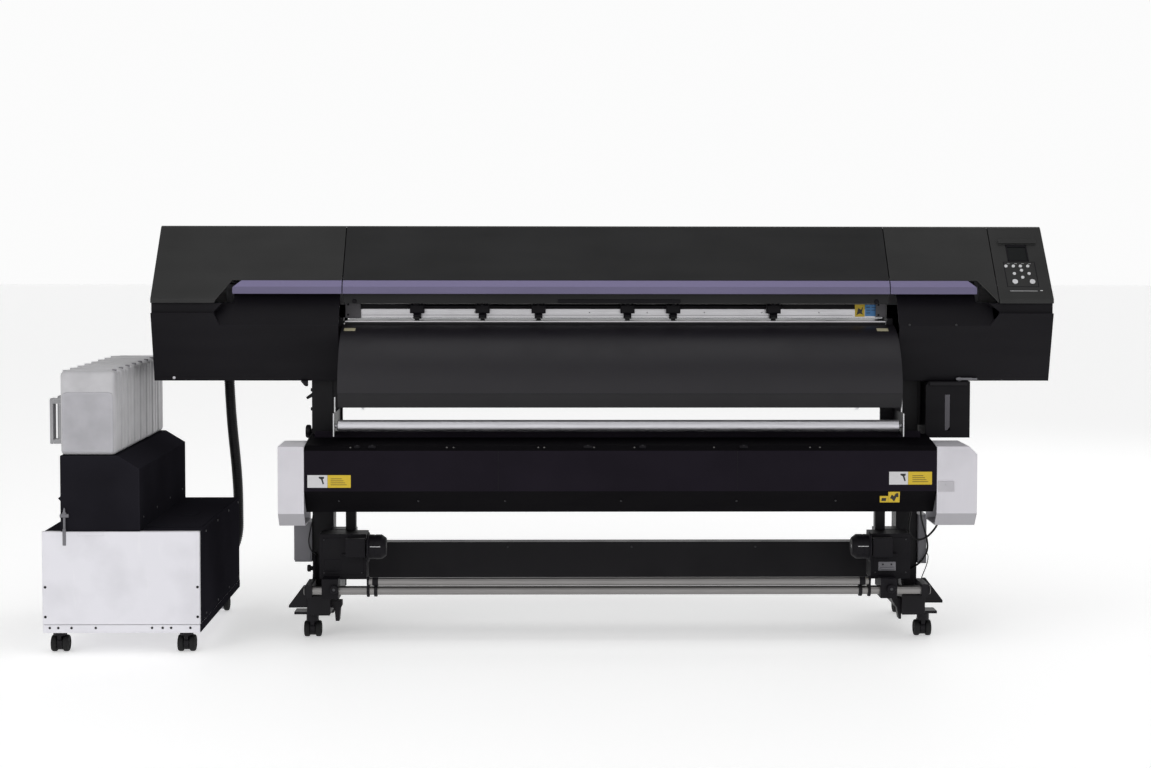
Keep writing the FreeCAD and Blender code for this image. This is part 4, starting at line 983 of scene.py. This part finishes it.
def bar_fittings():
    """End plugs and rings on the guide bar, and a sleeve at each end of the swinging bar."""
    shape = Shape()
    for x, way in ((-914, LEFTWARD), (1000, RIGHTWARD)):
        shape.turned((x - way[0] * 9, *BAR_AXIS), way,
                     [(0, 14.6), (6, 14.6), (8, 13), (8, 6), (7, 0)], 28)
    for x in (-700, 780):
        shape.turned((x, *BAR_AXIS), RIGHTWARD,
                     [(0, 13.7), (0, 18), (1, 19), (9, 19), (10, 18), (10, 13.7)], 32)
    shape.made("guide_bar_rings", BLACK_STEEL)
    ends = Shape()
    for x, way in ((-716, LEFTWARD), (810, RIGHTWARD)):
        ends.turned((x + way[0], *SWING_AXIS), way,
                    [(-30, 12.6), (-28, 13), (-14, 13), (-12, 12.6)], 28)
    ends.made("tension_bar_sleeves", BLACK, "tension_bar")


# ---- stand


def foot_fittings():
    """Gussets, end plates, brackets and webs on both feet."""
    shape = Shape()
    shape.prism("y", [(-922, 168), (-908, 168), (-908, 99), (-968, 99), (-968, 106)], -16, -8, 1.0)
    shape.prism("y", [(991, 182), (1004, 182), (1058, 112), (1058, 104), (991, 104)], 24, 32, 1.0)
    shape.prism("y", [(-842, 117), (-806, 117), (-806, 100), (-812, 96), (-814, 54), (-826, 54),
                      (-828, 96), (-842, 96)], 0, 34, 1.2)
    shape.prism("y", [(925, 124), (893, 124), (900, 110), (911, 96), (917, 58), (925, 58)], 0, 34, 1.2)
    for x in (-908, 925):
        shape.block((x - 3, -27, 80), (x + 69, -19, 139), 2.5, 3)
        shape.block((x - 3, 479, 80), (x + 69, 487, 146), 2.5, 3)
        shape.prism("x", [(109, 150), (109, 250), (100, 250), (30, 156), (30, 150)], x + 6, x + 12, 0.8)
        shape.prism("x", [(190, 150), (190, 330), (199, 330), (330, 158), (330, 150)],
                    x + 6, x + 12, 0.8)
    shape.made("foot_fittings", BLACK_STEEL)


def leg_bolts():
    """Hexagon bolts with washers up both legs, and screws along the cross beam."""
    shape = Shape()
    washer_and_head = [(0, 7), (1.2, 7), (1.2, 5.6), (5, 5.6), (5.6, 5), (5.6, 0)]
    for x, way in ((LEFT_LEG, LEFTWARD), (RIGHT_LEG, RIGHTWARD)):
        for level in (420, 470, 700, 760):
            for y in (128, 172):
                shape.turned((x, y, level), way, washer_and_head, 6)
    for x in (-700, -300, 100, 500, 860):
        shape.screw((x, 280.4, 240), FRONTWARD, 3.4)
    shape.made("leg_bolts", DARK_SCREW)


def power_box_details():
    """Lids, inlet sockets and vents on the two power boxes beside the legs."""
    lids, dark = Shape(), Shape()
    lids.block((-964, 93.2, 228), (-912, 95.2, 343), 0.8)
    lids.block((993, 93.2, 221), (1017, 95.2, 365), 0.8)
    for level in range(240, 336, 9):
        dark.block((-962.8, 104, level), (-961.4, 166, level + 3.2), 0.6, 1)
    for level in range(232, 356, 9):
        dark.block((1018.4, 104, level), (1019.8, 166, level + 3.2), 0.6, 1)
    dark.block((-948, 174, 250), (-922, 178, 272), 1.5)
    lids.made("power_box_lids", GREY_STEEL)
    dark.made("power_box_vents", BLACK)


WHEEL_RADIUS, WHEEL_GAP = 25, 18
FRONT_CASTERS = {"stand_left": (-899, 36), "stand_right": (996, 36),
                 "trolley_left": (-1628, -180), "trolley_right": (-1251, -180)}
REAR_CASTERS = {"stand_rear": [(-899, 420), (996, 420)],
                "trolley_rear": [(-1628, 467), (-1251, 467)]}


def caster_pair(name, body, spots):
    """Twin rounded tyres on dished hubs, with their axle, at each (x, y)."""
    tyre = Shape()
    for x, y in spots:
        for way in (-1, 1):
            start = (x + way * WHEEL_GAP / 2, y, WHEEL_RADIUS)
            tyre.turned(start, (way, 0, 0), [
                (0.3, 6), (0, 20), (1.2, 23.4), (3.6, 24.8), (6, 25), (11, 25), (14.4, 24.4),
                (16.8, 22.4), (17.6, 19.4), (17.2, 16.6), (14.6, 15.6), (14.4, 8), (16.8, 7),
                (17, 3.5), (16, 0)], 40)
        tyre.turned((x - 12, y, WHEEL_RADIUS), RIGHTWARD, [(0, 0), (0, 3.9), (24, 3.9), (24, 0)], 20)
    tyre.made(name, RUBBER, body, [body])


def casters():
    """Every front caster turns on its own; the rear ones of a stand or trolley share a body."""
    for owner, spot in FRONT_CASTERS.items():
        caster_pair(f"{owner}_tyres", f"{owner}_wheels", [spot])
    for owner, spots in REAR_CASTERS.items():
        caster_pair(f"{owner}_tyres", f"{owner}_wheels", spots)


def brake_pedals():
    """The round cap and short pedal over each front caster."""
    for owner, (x, y) in FRONT_CASTERS.items():
        pedal = Shape()
        pedal.prism("x", [(y - 12, 44), (y - 21, 41), (y - 22, 38), (y - 19, 37), (y - 8, 42)],
                    x - 6, x + 6, 0.8)
        pedal.turned((x, y, 44), UPWARD, [(0, 14), (3, 17.5), (6, 18.5), (9, 18.5), (9, 0)], 28)
        pedal.made(f"{owner}_brake", BLACK, f"{owner}_caster")


# ---- ink trolley

TANK_COUNT, TANK_PITCH, TANK_DEEP, FIRST_TANK = 8, 96, 90, -203
CART_LEFT, CART_RIGHT, CART_BACK = -1674, -1207, 570
CART_LOW, CART_RAIL, CART_TOP = 61, 85, 364
SHEET_FRONT = -213.2


def ink_tanks():
    """Eight milky tanks: rounded bodies with a seam, two top ribs, a raised face, cap and grip."""
    bodies, faces, grips, caps = Shape(), Shape(), Shape(), Shape()
    for low in [FIRST_TANK + TANK_PITCH * i for i in range(TANK_COUNT)]:
        high = low + TANK_DEEP
        bodies.block((-1618.5, low, 591), (-1455, high, 841), 13, 4)
        bodies.block((-1620, low + 44, 604), (-1453.6, low + 47, 842.4), 1.2)
        bodies.block((-1596, low + 14, 838), (-1480, low + 40, 842.2), 1.8, 3)
        bodies.block((-1596, low + 52, 838), (-1480, low + 76, 842.2), 1.8, 3)
        faces.prism("y", [(-1612, 600), (-1461, 600), (-1461, 766), (-1464.5, 775.5), (-1474, 779),
                          (-1599, 779), (-1608.5, 775.5), (-1612, 766)], low - 0.6, low + 4, 0.5)
        caps.turned((-1466, low + 45, 838), UPWARD, [(0, 7), (5, 7), (6.5, 5.6), (6.5, 0)], 20)
        grips.prism("x", [(low + 28, 622), (low + 62, 622), (low + 65, 626), (low + 65, 752),
                          (low + 62, 758), (low + 28, 758), (low + 25, 752), (low + 25, 626)],
                    -1655, -1645, 1.6)
        grips.block((-1646, low + 28, 742), (-1617, low + 62, 757), 2.0)
        grips.block((-1646, low + 28, 622), (-1617, low + 62, 636), 2.0)
        grips.block((-1628, low + 30, 634), (-1621, low + 60, 744), 1.5)
    bodies.made("ink_tank_bodies", TANK, stands_for=["ink_tanks"])
    grips.made("ink_tank_grips", GRIP_PLASTIC)
    faces.made("ink_tank_faces", TANK_FACE)
    caps.made("ink_tank_caps", TANK_CAP)


def trolley_front():
    """The white front sheet with folded sides, its screws, and the latch rod at its left."""
    sheet = Shape()
    sheet.block((CART_LEFT, -213.4, CART_RAIL + 1), (CART_RIGHT, -211, CART_TOP), 0.8)
    sheet.block((CART_LEFT, SHEET_FRONT, CART_RAIL + 1), (CART_LEFT + 2.6, -195, CART_TOP), 0.8)
    sheet.block((CART_RIGHT - 2.6, SHEET_FRONT, CART_RAIL + 1), (CART_RIGHT, -199, CART_TOP), 0.8)
    sheet.block((CART_LEFT, SHEET_FRONT, CART_TOP - 2.6), (CART_RIGHT, -195, CART_TOP), 0.8)
    sheet.block((-1566, -213.9, 352), (-1488, -212.8, 361), 0.3, 1)
    sheet.made("trolley_front_sheet", WHITE_PANEL, stands_for=["trolley_front_panel"])
    screws = Shape()
    for x in (-1665.4, -1213.6):
        for level in (198.3, 109):
            screws.turned((x, SHEET_FRONT, level), FRONTWARD,
                          [(0, 4), (0.9, 4), (1.6, 3), (1.6, 0)], 16)
    for x in (-1652.8, -1627.6, -1588.3, -1516.5, -1349.4, -1317.9, -1292.8, -1235.6):
        screws.turned((x, SHEET_FRONT, 76), FRONTWARD,
                      [(0, 3.6), (0.9, 3.6), (1.6, 2.6), (1.6, 0)], 16)
    screws.made("trolley_screws", BLACK_STEEL)
    rod = Shape()
    rod.turned((-1607, -211, 365), UPWARD, [(0, 3.6), (62, 3.6), (68, 2), (70, 1), (70, 0)], 20)
    rod.block((-1620.5, -214.8, 406), (-1593.5, -207.4, 417), 2.2, 3)
    rod.block((-1613, -214.8, 417), (-1601, -207.4, 422), 1.5)
    rod.block((-1612, -214.9, 323), (-1602, -213, 372), 0.8)
    rod.block((-1610, -214.6, 360), (-1604, -208, 372), 1.5)
    rod.made("trolley_latch_rod", GREY_STEEL)


def trolley_details():
    """Seams, screws, a flap and a dark skirt round the trolley's body and pedestal."""
    dark, steel = Shape(), Shape()
    for y in (-100, 120, 340, 540):
        for level in (100, 350):
            steel.screw((-1207.2, y, level), RIGHTWARD, 3.2)
    for y in (-150, 60, 280, 500):
        steel.screw((-1385.2, y, 400), RIGHTWARD, 3.0)
        steel.screw((-1619.2, y, 400), LEFTWARD, 3.0)
    dark.block((-1395, -120, 363.5), (-1215, 480, 366), 0.8)
    dark.block((-1330, 120, 365), (-1270, 180, 369), 2.0, 3)
    dark.prism("y", [(-1619, 470), (-1628, 462), (-1619, 452)], -200, -170, 0.8)
    dark.block((CART_RIGHT, -209, CART_LOW), (CART_RIGHT + 1.2, CART_BACK, CART_RAIL + 0.4), 0.4, 1)
    steel.made("trolley_side_screws", DARK_SCREW)
    dark.made("trolley_seams_and_skirt", SHEET_BLACK)


def hose_ends():
    """A flanged nut where the hose leaves the head, and another where it enters the trolley."""
    shape = Shape()
    shape.turned((-1214, 420, 794.5), DOWNWARD, [
        (0, 17.4), (0, 26), (2, 27), (8, 27), (10, 24), (26, 20.5), (27, 17.4)], 28)
    shape.turned((-1454.8, 622, 75), RIGHTWARD, [
        (0, 17.4), (0, 19.5), (14, 19.5), (20, 18.6), (21, 17.4)], 28)
    shape.made("hose_end_nuts", BLACK)


# ---- back and sides

HEAD_BACK, HEAD_SIDE = 480.2, 1388
END_SCREWS = ((250, 1235), (430, 1235), (430, 1060), (120, 1060), (120, 980), (430, 980), (430, 820))


def rear_details():
    """Screws, louvres, the power inlet and the signal sockets on the back of the head."""
    steel, dark, pale = Shape(), Shape(), Shape()
    sunk, proud = HEAD_BACK - 0.6, HEAD_BACK + 0.7
    for x in range(-1350, 1351, 300):
        for level in (1040, 1255):
            steel.screw((x, HEAD_BACK - 0.4, level), BACKWARD, 3.4)
    for x in (-1370, -1100, -840, 925, 1150, 1370):
        for level in (812, 1016):
            steel.screw((x, HEAD_BACK - 0.4, level), BACKWARD, 3.4)
    for centre in (-1130, 1130):
        for row in range(9):
            level = 1090 + row * 14
            dark.prism("x", [(sunk, level), (proud, level + 1), (proud, level + 4.5),
                             (sunk, level + 8)], centre - 90, centre + 90, 0.3, 1)
    dark.block((1196, sunk, 846), (1256, proud, 886), 0.6)
    dark.block((1096, sunk, 846), (1126, proud, 866), 0.6)
    pale.block((-1240, HEAD_BACK - 0.5, 880), (-1160, HEAD_BACK + 0.4, 940), 0.3, 1)
    steel.made("rear_screws", STEEL)
    dark.made("rear_louvres_and_sockets", BLACK)
    pale.made("rear_blank_plate", WHITE_LABEL)


def side_details():
    """Screws and a ventilation field on each end of the head."""
    steel, dark = Shape(), Shape()
    for x, way in ((-HEAD_SIDE, LEFTWARD), (HEAD_SIDE, RIGHTWARD)):
        for y, level in END_SCREWS:
            steel.screw((x - way[0] * 2.7, y, level), way, 3.2)
        for row in range(10):
            low, high = sorted((x - way[0] * 1.6, x - way[0] * 0.2))
            dark.block((low, 250, 850 + row * 9), (high, 370, 854 + row * 9), 0.4, 1)
    steel.made("head_end_screws", DARK_SCREW)
    dark.made("head_end_vents", BLACK)


def cutter_carriage_face():
    """A face plate, a window and two screws on the cutter carriage."""
    low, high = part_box("cutter_carriage")
    x0, x1 = low.x / MM - DRAWING_TO_FRAME.x, high.x / MM - DRAWING_TO_FRAME.x
    z0, z1 = low.z / MM, high.z / MM
    front = 150
    plate, dark = Shape(), Shape()
    plate.block((x0 + 24, front - 1.8, z0 + 46), (x1 - 24, front + 0.5, z1 - 18), 1.2)
    dark.block((x0 + 32, front - 2.6, z0 + 54), (x1 - 32, front - 1.2, z0 + 70), 0.6)
    for x in (x0 + 28, x1 - 28):
        dark.screw((x, front - 1.6, z1 - 24), FRONTWARD, 2.2)
    plate.made("cutter_carriage_face", GREY_STEEL, "cutter_carriage")
    dark.made("cutter_carriage_window", BLACK, "cutter_carriage")


# ---- room


def camera():
    """Looks slightly down at the whole machine from in front of its middle."""
    lens = bpy.data.cameras.new("front camera")
    lens.lens = 63.395
    lens.sensor_width = 36.0
    lens.shift_y = -0.05
    lens.clip_end = 100.0
    eye = bpy.data.objects.new("front camera", lens)
    yaw, pitch, roll = 0.015137, 0.047652, 0.001282
    turn = (Matrix.Rotation(-yaw, 4, "Z") @ Matrix.Rotation(math.pi / 2 - pitch, 4, "X")
            @ Matrix.Rotation(roll, 4, "Z"))
    eye.matrix_world = Matrix.Translation((-0.03733, -6.43251, 1.2618)) @ turn
    bpy.context.scene.collection.objects.link(eye)
    bpy.context.scene.camera = eye


def soft_lamp(name, place, target, wide, tall, power):
    """A large soft lamp at a place, turned to its target; sizes in metres, power in watts."""
    lamp = bpy.data.lights.new(name, "AREA")
    lamp.shape = "RECTANGLE"
    lamp.size, lamp.size_y, lamp.energy = wide, tall, power
    holder = bpy.data.objects.new(name, lamp)
    aim = Vector(target) - Vector(place)
    holder.matrix_world = Matrix.Translation(place) @ aim.to_track_quat("-Z", "Y").to_matrix().to_4x4()
    bpy.context.scene.collection.objects.link(holder)


def studio():
    """A pale floor that meets an evenly bright room, and three large soft lamps."""
    world = bpy.data.worlds.new("bright room")
    world.use_nodes = True
    air = world.node_tree.nodes["Background"]
    tree = world.node_tree
    where = tree.nodes.new("ShaderNodeTexCoord")
    split = tree.nodes.new("ShaderNodeSeparateXYZ")
    fade = tree.nodes.new("ShaderNodeMapRange")
    tree.links.new(where.outputs["Generated"], split.inputs[0])
    tree.links.new(split.outputs["Z"], fade.inputs[0])
    for socket, value in zip(fade.inputs[1:5], (0.22, 0.75, 0.97, 0.4)):
        socket.default_value = value
    tree.links.new(fade.outputs[0], air.inputs["Strength"])
    air.inputs["Color"].default_value = (1.0, 1.0, 1.0, 1.0)
    bpy.context.scene.world = world
    bpy.context.scene.view_settings.view_transform = "Standard"
    finish = Finish("pale floor")
    speck = finish.noise(30, detail=4)
    base = finish.mix(speck, (0.86, 0.86, 0.86, 1.0), (0.9, 0.9, 0.9, 1.0))
    pale = finish.surface(
        base_color=base,
        roughness=0.6,
        specular_ior_level=0.1,
        emission_color=(1.0, 1.0, 1.0, 1.0),
        emission_strength=0.4,
    )
    mesh = bpy.data.meshes.new("floor")
    half = 40.0
    mesh.from_pydata([(-half, -half, 0), (half, -half, 0), (half, half, 0), (-half, half, 0)], [],
                     [(0, 1, 2, 3)])
    mesh.materials.append(pale)
    floor = bpy.data.objects.new("floor", mesh)
    bpy.context.scene.collection.objects.link(floor)
    soft_lamp("overhead", (0, -1.2, 4.6), (0, 0, 0.8), 5.0, 3.0, 30)
    soft_lamp("front left", (-3.6, -4.6, 3.4), (-0.4, 0, 0.7), 2.6, 2.6, 40)
    soft_lamp("back right", (3.6, 4.2, 3.6), (0.4, 0, 0.8), 2.6, 2.6, 30)


dress_cad_parts()
dryer_cables()
ribbed_hose()
head_screws()
head_lock_lever()
panel_marks()
panel_bezel()
cover_grip()
lower_cover_button()
head_hooks()
waste_tank_mounting()
opening_labels()
apron_patches()
strip_details()
strip_surround()
leg_closing_plate()
pinch_arm_fittings()
pipe_end_plates()
dryer_labels()
dryer_small_label()
dryer_fittings()
end_cover_clip()
end_cover_screws()
core_flange("left", -727, 1)
core_flange("right", 823, -1)
takeup_unit_details("takeup_drive_unit", -871, -727, -820)
takeup_unit_details("takeup_idle_unit", 823, 945, 876)
idle_unit_bracket()
tension_bar()
bar_fittings()
foot_fittings()
leg_bolts()
power_box_details()
casters()
brake_pedals()
ink_tanks()
trolley_front()
trolley_details()
hose_ends()
rear_details()
side_details()
cutter_carriage_face()
camera()
studio()
